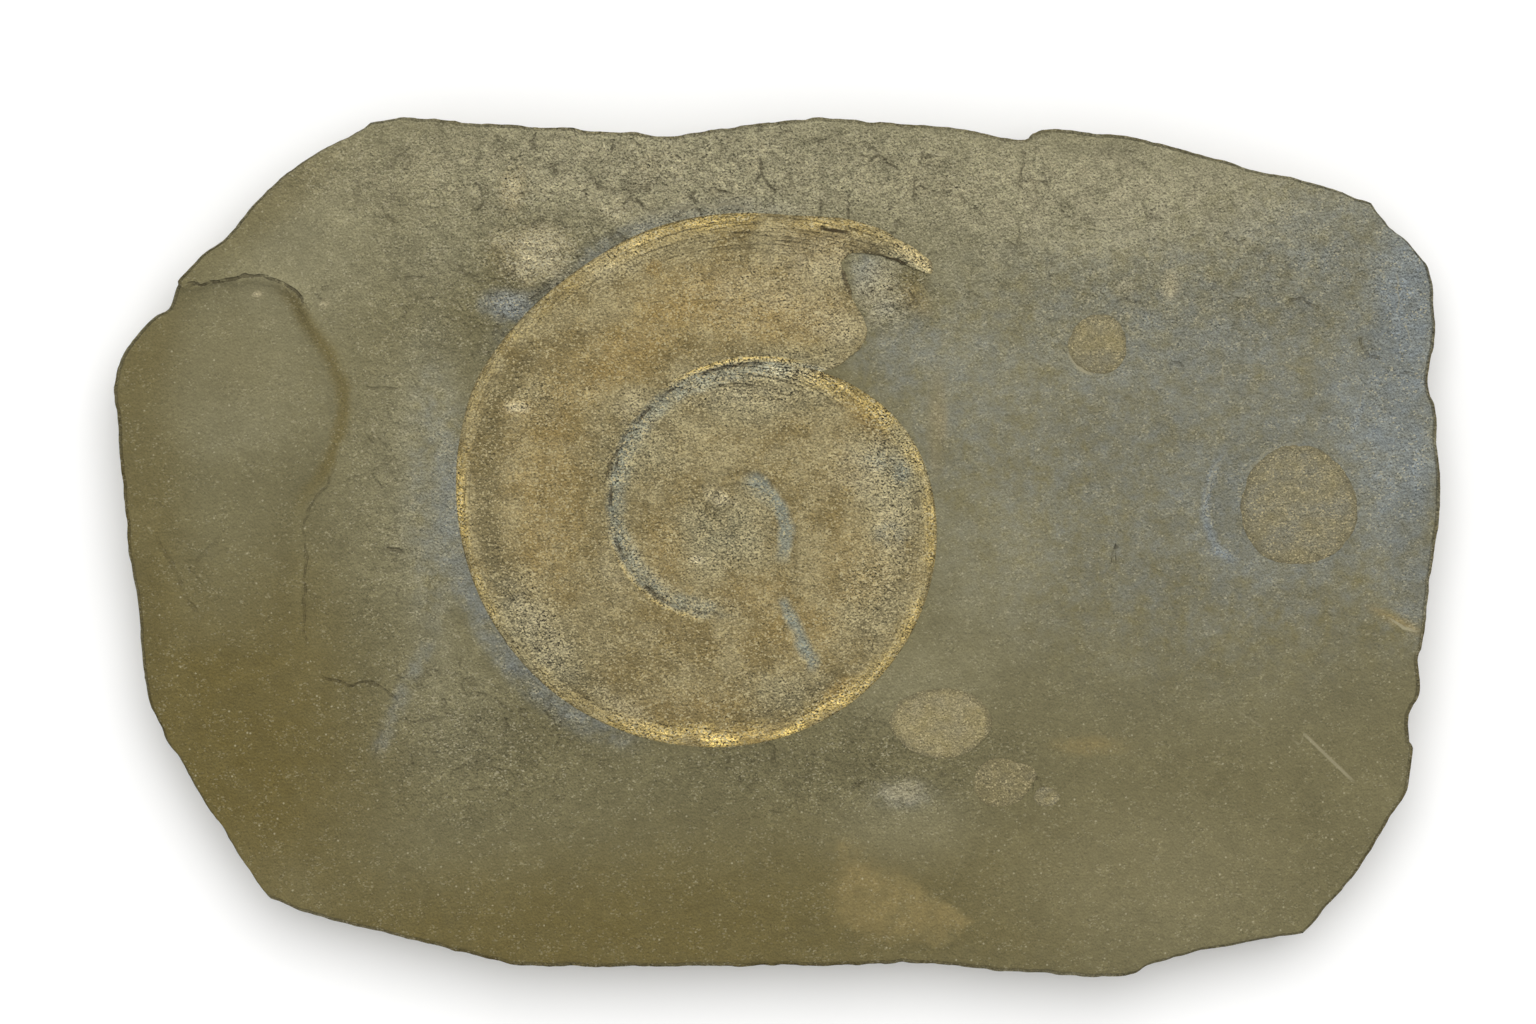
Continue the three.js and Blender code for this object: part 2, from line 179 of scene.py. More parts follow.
@dataclass(frozen=True)
class Patch:
    """A soft oval on the face: its place, half-sizes, turn in degrees and strength or rise."""

    x: float
    y: float
    a: float
    b: float
    amount: float = 1.0
    turn: float = 0.0

    def spread(self, x: Array, y: Array, inner: float = 0.3, outer: float = 1.3) -> Array:
        """Full inside the oval's inner share, fading to nothing at its outer share.

        Args:
            x: Places along X.
            y: Places along Y.
            inner: Share of the half-sizes that is full.
            outer: Share of the half-sizes where it ends.

        Returns:
            The amount at each place: amount times one minus a smooth step of the oval distance.
        """
        cos, sin = math.cos(math.radians(self.turn)), math.sin(math.radians(self.turn))
        along = ((x - self.x) * cos + (y - self.y) * sin) / self.a
        across = ((y - self.y) * cos - (x - self.x) * sin) / self.b
        return self.amount * fading(np.hypot(along, across), inner, outer)


@dataclass(frozen=True)
class Stroke:
    """A thin line on the face: its points, strength, half-width and how long its ends taper."""

    points: tuple[tuple[float, float], ...]
    strength: float = 1.0
    reach: float = 1.0
    taper: float = 2.0


# Soft hollows and swells of the shale face
SWELLS = (
    Patch(-14, 49.5, 12, 3, -0.5),
    Patch(-23, 56, 6, 5, -0.6),
    Patch(4, 58, 7, 6, -0.5),
    Patch(-52, 52, 16, 7, 0.6),
    Patch(35, 55, 9, 7, 0.6),
    Patch(50, 57, 7, 6, -0.7),
    Patch(-42, -29, 10, 6, -0.8),
    Patch(-50, -37, 8, 4, 0.4),
    Patch(6, -33, 12, 4, -0.4),
    Patch(19, -53, 10, 6, 0.4),
    Patch(68, 5, 5, 12, -0.6),
    Patch(96, 27, 9, 14, -1.8),
    Patch(96, 0, 6, 12, -1.1),
    Patch(-98, -18, 7, 20, -1.2),
    Patch(-36.2, 43.7, 4.6, 4, 0.3),
)

# Where the shale is greyer, browner, blue-grey as a painted cool sheen, or stained with ochre
GREY_PATCHES = (
    Patch(50, 52, 52, 13, 0.6),
    Patch(46, 34, 34, 16, 0.26),
    Patch(-14, 58, 64, 13, 0.95),
    Patch(52, 53, 26, 10, 0.5),
    Patch(-68, 44, 16, 12, 0.5),
    Patch(56, -50, 22, 12, 0.35),
    Patch(-54, 12, 14, 24, 0.35),
    Patch(60, 4, 40, 30, 0.06),
    Patch(33, -2, 12, 14, 0.35),
    Patch(-50, 44, 8, 7, 0.5),
    Patch(28, 30, 16, 22, 0.25),
    Patch(-53, 10, 7, 26, 0.3),
    Patch(15.5, 41, 5, 5, 1.0),
    Patch(-80, 26, 16, 12, 0.3),
    Patch(20, -20, 14, 8, 0.3),
    Patch(-50, -24, 11, 12, 0.3),
    Patch(19, -42, 12, 7, 0.4),
    Patch(-82, 17, 11, 5, 0.15),
    Patch(-76, -49, 12, 5, 0.35, -35),
)
BROWN_PATCHES = (
    Patch(-84, -34, 26, 30, 0.9),
    Patch(-96, -2, 8, 34, 0.55),
    Patch(-30, -60, 62, 14, 0.8),
    Patch(-83.6, -18.5, 9, 4, 0.6),
    Patch(-72, -17, 8, 22, 0.35),
    Patch(-8, -48, 34, 10, 0.28),
    Patch(20, 40, 3, 2.4, 0.7, -30),
    Patch(38, -52, 46, 14, 0.3),
    Patch(-76, 52, 14, 4, 0.35, 40),
    Patch(-95, 30, 6, 14, 0.4, -20),
    Patch(62, -40, 30, 14, 0.1),
    Patch(-84, 27, 9, 7, 0.16),
)
BLUE_SHEEN_PATCHES = (
    Patch(-52, 8, 4.5, 24, 0.2),
    Patch(-40.5, 36.5, 4, 2.6, 0.8),
    Patch(66, 18, 46, 38, 0.3),
    Patch(92, 22, 10, 16, 0.25),
    Patch(96.5, 12, 3, 9, 0.6),
    Patch(78, 6, 15, 15, 0.3),
    Patch(84, 46, 14, 10, 0.3),
    Patch(97, -6, 5, 9, 0.35),
    Patch(13.4, 41.2, 2.2, 3.6, 0.5),
    Patch(16, 36, 2, 1.6, 0.5),
    Patch(17, 30, 7, 7, 0.25),
    Patch(26, 24, 8, 14, 0.15),
    Patch(95, 36, 6, 16, 0.8),
    Patch(89, 21, 7, 11, 0.3, 20),
    Patch(92, 10, 6, 14, 0.3),
    Patch(19, -37, 5, 2.4, 0.25),
    Patch(64, 32, 26, 9, 0.12),
    Patch(92.5, 4, 5, 20, 0.12),
)
GOLD_PATCHES = (
    Patch(-37, 43.5, 6.5, 5, 0.4),
    Patch(-39.7, 54, 2, 3.8, 0.6),
    Patch(47, -29.6, 6, 1.5, 0.5),
    Patch(93, -11, 5, 0.8, 0.7, -26),
    Patch(24, 19, 1.6, 8, 0.35),
    Patch(20.5, 37.2, 4, 2, 0.5, -30),
)
PALE_PATCHES = (
    Patch(-34.7, 45.6, 4.2, 3, 0.8, -10),
    Patch(-37.8, 42.5, 4, 3.2, 0.8, 25),
    Patch(-33.6, 42.6, 3, 2.4, 0.7),
    Patch(-39.8, 46.2, 3, 2.2, 0.6),
    Patch(-39.7, 54, 1.8, 3.8, 0.6),
    Patch(19, -36.6, 3.4, 1.8, 0.4),
    Patch(-14, 56, 60, 8, 0.22),
    Patch(58.9, 39.4, 1.4, 2.2, 0.6),
    Patch(15.4, 37.9, 4, 5, 0.6),
    Patch(-18, 57, 6, 3, 0.3),
    Patch(-40.5, 36.8, 3, 1.8, 0.12),
    Patch(50, 52, 30, 8, 0.2),
    Patch(-24, 50.4, 3, 2, 0.4),
    Patch(-68, 36.5, 0.7, 0.6, 0.7),
    Patch(-78, 38, 0.6, 0.5, 0.9),
    Patch(52, 39, 2, 1.4, 0.3),
)
FLAKED_PATCHES = (
    Patch(17, 39.5, 7, 6.5, 1.0),
    Patch(-12, 56, 60, 12, 1.0),
    Patch(-40, 40, 26, 14, 0.6),
    Patch(-42, -28, 22, 14, 0.6),
    Patch(50, 46, 50, 18, 0.5),
    Patch(-56, 8, 12, 30, 0.4),
    Patch(8, -32, 30, 10, 0.5),
    Patch(-37.5, 44, 8, 7.5, 0.6),
)

# A thin tan flake left on the face near the lower edge
FLAKE: Points = [
    (9.8, -44.3), (7.9, -47.2), (7.1, -51.4), (7.6, -55.1), (13.1, -60.1), (25.1, -59.6),
    (29.9, -56.5), (27.1, -54.4), (23.6, -52.1), (18.4, -48.8), (13.6, -45.7),
]

CRACKS = (
    Stroke(((-90, 39.3), (-85, 39.8), (-82, 40.3), (-78, 41), (-74.3, 39.8), (-71.9, 38.2),
            (-69.8, 34.6)), 0.6, 0.3, 3),
    Stroke(((-77, 40.1), (-73.4, 38.9), (-71.2, 36.6)), 0.3, 0.25),
    Stroke(((-64.6, 14.6), (-67.1, 11.2), (-70.4, 6.1), (-71, 2), (-70.8, -17.6)), 0.25, 0.25, 6),
    Stroke(((-69.2, -19), (-64.3, -20.5), (-60.4, -20.3), (-56.6, -22.9)), 0.4, 0.25),
    Stroke(((-59.3, -0.9), (-57, -0.4), (-55.4, -0.6)), 0.45, 0.35, 1.2),
    Stroke(((-62, -4), (-59.6, -2.8)), 0.2, 0.25),
    Stroke(((-70, 38.9), (-66.5, 39.2)), 0.3, 0.25, 1),
    Stroke(((-57.7, 40.2), (-53, 40.4), (-51.1, 40)), 0.3, 0.25),
    Stroke(((-63.5, 24.2), (-59.5, 23.8), (-55.5, 23.8)), 0.25, 0.25),
    Stroke(((-61.9, 17.6), (-58.9, 15.4), (-57, 13.1)), 0.2, 0.3),
    Stroke(((-94, 3.4), (-92.4, 0.2), (-91, -2.2), (-88.7, -7.7), (-85.3, -11.6)), 0.23, 0.4, 4),
    Stroke(((-90.5, -2.2), (-87.4, -1.9), (-81.4, 3.4)), 0.17, 0.4, 3),
    Stroke(((-30.4, 58.1), (-28.4, 56.4), (-26.6, 53.9), (-20.6, 53.4), (-17.4, 55.4)), 0.3, 0.4),
    Stroke(((-1.5, 60), (1.6, 56.9), (2.4, 53.6), (6.4, 52.1)), 0.3, 0.4),
    Stroke(((-45, 46), (-41.4, 44.4), (-36.9, 46.1)), 0.2, 0.3),
    Stroke(((27.1, 53.6), (28, 52), (29.2, 51), (30.8, 50.8)), 0.3, 0.3, 1),
    Stroke(((37.4, 57), (38.9, 52.6), (38.2, 48.6)), 0.23, 0.35),
    Stroke(((-40, 40.4), (-46, 40.1)), 0.3, 0.25, 1),
    Stroke(((-56, -26.4), (-53.5, -25.6), (-50.5, -26.2)), 0.25, 0.3, 1),
    Stroke(((-47, -34.2), (-43, -33.2), (-38.4, -33.9)), 0.23, 0.4),
    Stroke(((-42, 45), (-41.4, 41.8), (-38.9, 39.9), (-36.4, 40.2)), 0.3, 0.3, 1.5),
    Stroke(((-39.2, 44.6), (-36.8, 45.1), (-35.4, 43.9), (-33.2, 44.2)), 0.25, 0.3, 1.2),
    Stroke(((88, 32.6), (87.5, 30.4), (89, 28.6), (91.6, 28.2)), 0.3, 0.3, 1),
    Stroke(((91.6, 26.3), (95, 26), (98, 24.7)), 0.25, 0.3, 1.5),
    Stroke(((76.4, 36.6), (79, 37.2), (81.4, 35.6)), 0.35, 0.35, 1),
    Stroke(((67, 47.2), (69.4, 45.6), (71.4, 46)), 0.3, 0.3, 1),
    Stroke(((58.4, 26.8), (60.2, 27.9), (61.4, 26.4)), 0.25, 0.3, 1),
    Stroke(((-47.4, -21.4), (-42.6, -22.4), (-39.4, -25.2)), 0.23, 0.4),
    Stroke(((50.4, 0.3), (51.2, 0.2)), 0.9, 0.5, 0.4),
    Stroke(((38.4, -34.7), (39.4, -34.6)), 0.5, 0.35, 0.4),
)

SCRATCHES = (
    Stroke(((43.6, 30.2), (44.1, 28.4), (45.2, 27), (46.7, 26.1), (48.4, 25.9)), 0.8, 0.4),
    Stroke(((70.4, 10.6), (72.6, 13.6), (75.8, 15.4), (79.4, 15.6)), 0.3, 0.4),
    Stroke(((78.4, -27.4), (86.6, -35.3)), 0.6, 0.35),
    Stroke(((76.8, -28.2), (84.2, -35.6)), 0.4, 0.25),
    Stroke(((-20.6, 49.7), (-15.6, 50.9), (-10.6, 51.4), (-3.6, 51.2)), 0.6, 0.3),
    Stroke(((91.4, -10.5), (93.8, -12), (96.6, -12.4)), 0.8, 0.25),
    Stroke(((67.4, 15.1), (65, 10.9), (63.7, 5.3)), 0.3, 0.25),
    Stroke(((88.2, 24), (86.8, 19.6)), 0.35, 0.25),
    Stroke(((66.7, 28.4), (66.8, 24.6)), 0.45, 0.2, 1),
    Stroke(((68.6, 27.2), (75, 27.4), (82, 26.9)), 0.25, 0.2),
    Stroke(((93, 41.4), (93.4, 38), (93, 35)), 0.35, 0.2, 1),
    Stroke(((94.6, 34), (95.2, 30.4)), 0.3, 0.2, 1),
    Stroke(((68, -24), (74, -27.6)), 0.2, 0.2),
    Stroke(((16, 30.4), (20.6, 34.6), (22.4, 38.4)), 0.35, 0.25),
)

# Bare blue-grey lines: a scraped streak at the lower left and the arc beside the large round shell
BLUE_STROKES = (
    Stroke(((-50.8, -11.4), (-53.4, -16.4), (-55.4, -20.2), (-58, -26.4), (-61, -32.6)), 0.22, 2.0),
    Stroke(((67.6, 15.6), (65.1, 10.9), (63.9, 5.3), (65.9, -0.4), (70.7, -3.4)), 0.85, 1.3),
    Stroke(((88.6, 25), (87.2, 19.8), (85.4, 14.6)), 0.9, 1.1),
    Stroke(((93.5, 44), (94.4, 38), (93.4, 31), (94.8, 24)), 0.7, 1.2),
    Stroke(((78.6, 19.6), (81, 17.8), (84.4, 18.6)), 0.5, 1.4),
)


def smooth(value: Array | float, low: float, high: float) -> Array:
    """Smooth step: nought below low, one above high, cubic between.

    Args:
        value: Values to map.
        low: Where it starts.
        high: Where it ends.

    Returns:
        The mapped values.
    """
    t = np.clip((value - low) / (high - low), 0.0, 1.0)
    return t * t * (3 - 2 * t)


def fading(value: Array | float, full: float, end: float) -> Array:
    """Smooth fall: one below full, nought above end.

    Args:
        value: Values to map.
        full: Where it starts to fall.
        end: Where nothing is left.

    Returns:
        One minus the smooth step.
    """
    return 1 - smooth(value, full, end)


def within(value: Array | float, low: float, full: float, fade: float, end: float) -> Array:
    """A soft window: nought outside low and end, one between full and fade.

    Args:
        value: Values to map.
        low: Where it starts to rise.
        full: Where it is full.
        fade: Where it starts to fall.
        end: Where nothing is left.

    Returns:
        The rise times the fall.
    """
    return smooth(value, low, full) * fading(value, fade, end)


def through(knots: Points, x: Array) -> Array:
    """Smooth curve through knots: cubic between them with mean slopes, level beyond the ends.

    Args:
        knots: Pairs of place and value.
        x: Places to read the curve at.

    Returns:
        The curve's values.
    """
    kx, ky = np.array(knots, dtype=float).T
    before, after = np.r_[0, 0:len(kx) - 1], np.r_[1:len(kx), len(kx) - 1]
    slopes = (ky[after] - ky[before]) / (kx[after] - kx[before])
    x = np.clip(x, kx[0], kx[-1])
    i = np.clip(np.searchsorted(kx, x, side="right") - 1, 0, len(kx) - 2)
    span = kx[i + 1] - kx[i]
    t = (x - kx[i]) / span
    start = (1 + 2 * t) * (1 - t) ** 2 * ky[i] + t * (1 - t) ** 2 * span * slopes[i]
    return start + t ** 2 * (3 - 2 * t) * ky[i + 1] + t ** 2 * (t - 1) * span * slopes[i + 1]


def lattice(column: Array, row: Array, seed: int) -> Array:
    """A fixed random value between -1 and 1 for each lattice corner.

    Args:
        column: Whole numbers along the first axis.
        row: Whole numbers along the second axis.
        seed: Which noise it is.

    Returns:
        The corners' values, from a whole-number hash of column, row and seed.
    """
    limit = np.uint64(0xFFFFFFFF)
    mixed = column.astype(np.int64).astype(np.uint64) * np.uint64(374761393)
    mixed = mixed + row.astype(np.int64).astype(np.uint64) * np.uint64(668265263)
    mixed = (mixed + np.uint64(seed * 974634777)) & limit
    mixed = ((mixed ^ (mixed >> np.uint64(13))) * np.uint64(1274126177)) & limit
    mixed = mixed ^ (mixed >> np.uint64(16))
    return (mixed & np.uint64(0xFFFFFF)).astype(float) / 0x7FFFFF - 1


def noise(x: Array, y: Array, wave: float, seed: int, octaves: int = 1) -> Array:
    """Smooth value noise: lattice values blended by a quintic, octaves halved and summed.

    Args:
        x: Places along X.
        y: Places along Y.
        wave: Lattice spacing of the first octave.
        seed: Which noise it is.
        octaves: How many octaves are summed.

    Returns:
        Noise about between -1 and 1.
    """
    total, weight = np.zeros(np.shape(x)), 0.0
    for octave in range(octaves):
        scale = 2 ** octave / wave
        px, py = np.asarray(x) * scale, np.asarray(y) * scale
        ix, iy = np.floor(px), np.floor(py)
        fx, fy = px - ix, py - iy
        ux, uy = (f ** 3 * (f * (6 * f - 15) + 10) for f in (fx, fy))
        low = lattice(ix, iy, seed) * (1 - ux) + lattice(ix + 1, iy, seed) * ux
        high = lattice(ix, iy + 1, seed) * (1 - ux) + lattice(ix + 1, iy + 1, seed) * ux
        total += (low * (1 - uy) + high * uy) * 0.5 ** octave
        weight += 0.5 ** octave
        seed += 17
    return total / weight * 1.6


def lumps(x: Array, y: Array, wave: float) -> Array:
    """Uneven lumps between -1 and 1: the mean of three slanted sine waves.

    Args:
        x: Places along X.
        y: Places along Y.
        wave: About how wide a lump is.

    Returns:
        The lumps' height at each place.
    """
    turn = 2 * math.pi / wave
    first = np.sin(turn * (x + 0.4 * y))
    second = np.sin(turn * (1.25 * (0.7 * y - 0.6 * x) + 3))
    return (first + second + np.sin(turn * (1.6 * y + 0.35 * x))) / 3


def flakes(x: Array, y: Array, wave: float, seed: int) -> Array:
    """Split laminae: noise cut into level steps with short slopes between them.

    Args:
        x: Places along X.
        y: Places along Y.
        wave: About how wide a flake is.
        seed: Which flakes they are.

    Returns:
        Terraced heights, one step of the noise apart, between about -1 and 1.
    """
    steps = 3.0
    bent = 2.2 * noise(x, y, wave / 3, seed + 5, 3)
    raised = steps * noise(x + bent, y - bent, wave, seed, 2)
    level = np.floor(raised)
    return (level + smooth(raised - level, 0.72, 1.0)) / steps


def raised(z: Array, near: float, far: float) -> Array:
    """How proud each place stands of its surroundings, about a half where it is level.

    The heights are eased by a few and by many passes of a one-two-one filter along both axes,
    and the heights above the two eased ones are summed.

    Args:
        z: Heights, rows by columns.
        near: Gain on the height above the nearby mean.
        far: Gain on the height above the wider mean.

    Returns:
        A mask from nought, in a hollow, to one, on a ridge.
    """
    eased, mask = z.copy(), np.full(z.shape, 0.5)
    for step in range(1, 41):
        padded = np.pad(eased, 1, mode="edge")
        padded = 0.25 * padded[:-2] + 0.5 * padded[1:-1] + 0.25 * padded[2:]
        eased = 0.25 * padded[:, :-2] + 0.5 * padded[:, 1:-1] + 0.25 * padded[:, 2:]
        if step == 5:
            mask += near * (z - eased)
    return np.clip(mask + far * (z - eased), 0, 1)


def side_of(points: Points | tuple, x: Array, y: Array) -> tuple[Array, Array]:
    """Signed distance to a line of points, and how far the foot is from the line's ends.

    The distance is to the nearest point of the nearest segment, positive on its left.

    Args:
        points: The line's corners in order.
        x: Places along X.
        y: Places along Y.

    Returns:
        The signed distance, and the shorter way along the line from the foot to an end.
    """
    corners = np.array(points, dtype=float)
    steps = np.diff(corners, axis=0)
    lengths = np.hypot(*steps.T)
    starts = np.r_[0, np.cumsum(lengths)]
    best = np.full(np.shape(x), np.inf)
    signed, ends = np.zeros(np.shape(x)), np.zeros(np.shape(x))
    for (ax, ay), (dx, dy), length, start in zip(corners, steps, lengths, starts):
        t = np.clip(((x - ax) * dx + (y - ay) * dy) / length ** 2, 0, 1)
        off_x, off_y = x - ax - t * dx, y - ay - t * dy
        distance = np.hypot(off_x, off_y)
        nearer = distance < best
        best = np.where(nearer, distance, best)
        turn = np.where(dx * off_y - dy * off_x < 0, -1.0, 1.0)
        signed = np.where(nearer, turn * distance, signed)
        foot = start + t * length
        ends = np.where(nearer, np.minimum(foot, starts[-1] - foot), ends)
    return signed, ends


def inside(points: Points, x: Array, y: Array) -> Array:
    """Whether places lie in an outline: an odd number of its edges crosses a ray along +X.

    Args:
        points: The outline's corners.
        x: Places along X.
        y: Places along Y.

    Returns:
        True where the place is inside.
    """
    odd = np.zeros(np.shape(x), dtype=bool)
    for (ax, ay), (bx, by) in zip(points, points[1:] + points[:1]):
        if ay == by:
            continue
        crosses = ((ay > y) != (by > y)) & (x < (bx - ax) * (y - ay) / (by - ay) + ax)
        odd ^= crosses
    return odd


def depth_inside(points: Points, x: Array, y: Array) -> Array:
    """How far a place is inside an outline, negative outside.

    Args:
        points: The outline's corners.
        x: Places along X.
        y: Places along Y.

    Returns:
        The distance to the outline in millimetres, with its sign.
    """
    distance = np.abs(side_of(points + points[:1], x, y)[0])
    return np.where(inside(points, x, y), distance, -distance)


def along_line(points: tuple, x: Array, y: Array, full: float, end: float | Array,
               taper: float) -> Array:
    """A soft band along a line of points that tapers at its ends.

    Args:
        points: The line's corners in order.
        x: Places along X.
        y: Places along Y.
        full: How far from the line it is full.
        end: How far from the line it ends.
        taper: How long its ends are.

    Returns:
        A mask from nought to one.
    """
    signed, ends = side_of(points, x, y)
    return fading(np.abs(signed), full, end) * smooth(ends, 0, taper)


def grid_quads(numbers: Array) -> Array:
    """The four-sided faces of a grid of corners.

    Args:
        numbers: The corners' numbers, rows by columns.

    Returns:
        The faces' corners, four to a row.
    """
    cells = [numbers[:-1, :-1], numbers[:-1, 1:], numbers[1:, 1:], numbers[1:, :-1]]
    return np.stack(cells, -1).reshape(-1, 4)


def marks(strokes: tuple[Stroke, ...], x: Array, y: Array) -> tuple[Array, Array]:
    """The nearest stroke's signed distance, and a mask of how strong a line may be there.

    Args:
        strokes: The thin lines.
        x: Places along X.
        y: Places along Y.

    Returns:
        Signed distance to the line, as a share of its width, and the mask, which fades away
        from the line and tapers towards its ends.
    """
    ragged = 0.35 * noise(x, y, 1.6, 71, 2)
    sides, near = np.full(np.shape(x), 4.0), np.zeros(np.shape(x))
    for stroke in strokes:
        signed, ends = side_of(stroke.points, x + ragged, y - ragged)
        fade = fading(np.abs(signed), 2.5 * stroke.reach, 6 * stroke.reach + 1)
        here = stroke.strength * fade * smooth(ends, 0, stroke.taper)
        stronger = here > near
        sides = np.where(stronger, np.clip(signed / stroke.reach, -4, 4), sides)
        near = np.maximum(near, here)
    return sides, near


def total(patches: tuple[Patch, ...], x: Array, y: Array) -> Array:
    """Masks of several patches together: one minus the product of what each leaves.

    Args:
        patches: The soft ovals.
        x: Places along X.
        y: Places along Y.

    Returns:
        A mask from nought to one.
    """
    left = np.ones(np.shape(x))
    for patch in patches:
        left *= 1 - np.clip(patch.spread(x, y, 0.2, 1.4), 0, 1)
    return 1 - left


def coil_polar(x: Array, y: Array) -> tuple[Array, Array]:
    """Angle about the coil's centre, within a turn from COIL_START, and distance from it.

    Args:
        x: Places along X.
        y: Places along Y.

    Returns:
        Angle and distance.
    """
    dx, dy = x - COIL_CENTRE[0], y - COIL_CENTRE[1]
    angle = (np.degrees(np.arctan2(dy, dx)) - COIL_START) % 360 + COIL_START
    return angle, np.hypot(dx, dy)


def ammonite_depth(x: Array, y: Array) -> Array:
    """How far a place is inside the ammonite's outline, negative outside, in millimetres.

    Inside the inner turn the depth is radial. In the outer turn it is the lesser of the way to
    the rim and the way round to the mouth.

    Args:
        x: Places along X.
        y: Places along Y.

    Returns:
        The depth.
    """
    angle, radius = coil_polar(x, y)
    outer, inner = through(COIL, angle), through(COIL, angle + 360)
    across = np.clip((radius - inner) / (outer - inner), 0, 1)
    to_mouth = np.radians(angle - through(LIP, across)) * radius
    return np.maximum(inner - radius, np.minimum(outer - radius, to_mouth))


def face_height(x: Array, y: Array) -> Array:
    """Height of the shale face: slow rolls, a flaked upper band, hollows and swells.

    Args:
        x: Places along X.
        y: Places along Y.

    Returns:
        Height above the underside.
    """
    band = smooth(y, 30, 58) * fading(x, 40, 80)
    rolls = 0.25 * lumps(x, y, 62) + (0.1 + 0.45 * band) * lumps(x, y, 17)
    return FACE + rolls + sum(item.spread(x, y) for item in SWELLS)


def linear(colour: Colour) -> tuple[float, float, float, float]:
    """A look on the screen as a finish's linear colour with full alpha.

    Args:
        colour: Red, green and blue, 0 to 255, as seen under the studio's light.

    Returns:
        The linear colour, each channel decoded and then scaled by the light's share.
    """
    share = [channel / 255 for channel in colour]
    bright = (s / 12.92 if s <= 0.04045 else ((s + 0.055) / 1.055) ** 2.4 for s in share)
    return (*(LIT * value for value in bright), 1.0)


@dataclass
class Skin:
    """Corners, faces and masks of one piece, in millimetres, until they become a mesh."""

    name: str
    points: Array
    faces: list[Array]
    masks: dict[Mask, Array] = field(default_factory=dict)
    corner_masks: dict[Mask, Array] = field(default_factory=dict)
    corner_uv: Array | None = None

    def build(self, material: bpy.types.Material, replaced: str, slot: str) -> bpy.types.Object:
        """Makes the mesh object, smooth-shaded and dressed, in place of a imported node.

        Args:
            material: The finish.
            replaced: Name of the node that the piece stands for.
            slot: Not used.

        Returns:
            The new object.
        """
        mesh = bpy.data.meshes.new(self.name)
        loops = np.concatenate([faces.ravel() for faces in self.faces])
        sizes = np.concatenate([np.full(len(faces), faces.shape[1]) for faces in self.faces])
        mesh.vertices.add(len(self.points))
        mesh.vertices.foreach_set("co", (self.points * MM).ravel())
        mesh.loops.add(len(loops))
        mesh.loops.foreach_set("vertex_index", loops)
        mesh.polygons.add(len(sizes))
        mesh.polygons.foreach_set("loop_start", np.r_[0, np.cumsum(sizes)[:-1]])
        mesh.polygons.foreach_set("loop_total", sizes)
        mesh.polygons.foreach_set("use_smooth", np.ones(len(sizes), dtype=bool))
        for domain, masks in (("POINT", self.masks), ("CORNER", self.corner_masks)):
            for mask, values in masks.items():
                layer = mesh.attributes.new(mask.value, "FLOAT", domain)
                layer.data.foreach_set("value", values.ravel().astype(np.float32))
        if self.corner_uv is not None:
            uv_layer = mesh.uv_layers.new(name="along_coil")
            uv_layer.uv.foreach_set("vector", self.corner_uv.ravel().astype(np.float32))
        mesh.update(calc_edges=True)
        mesh.validate()
        mesh.materials.append(material)
        piece = bpy.data.objects.new(self.name, mesh)
        bpy.context.scene.collection.objects.link(piece)
        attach(piece, "root")
        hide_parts(replaced)
        return piece


Socket = bpy.types.NodeSocket
Input = Socket | float | tuple


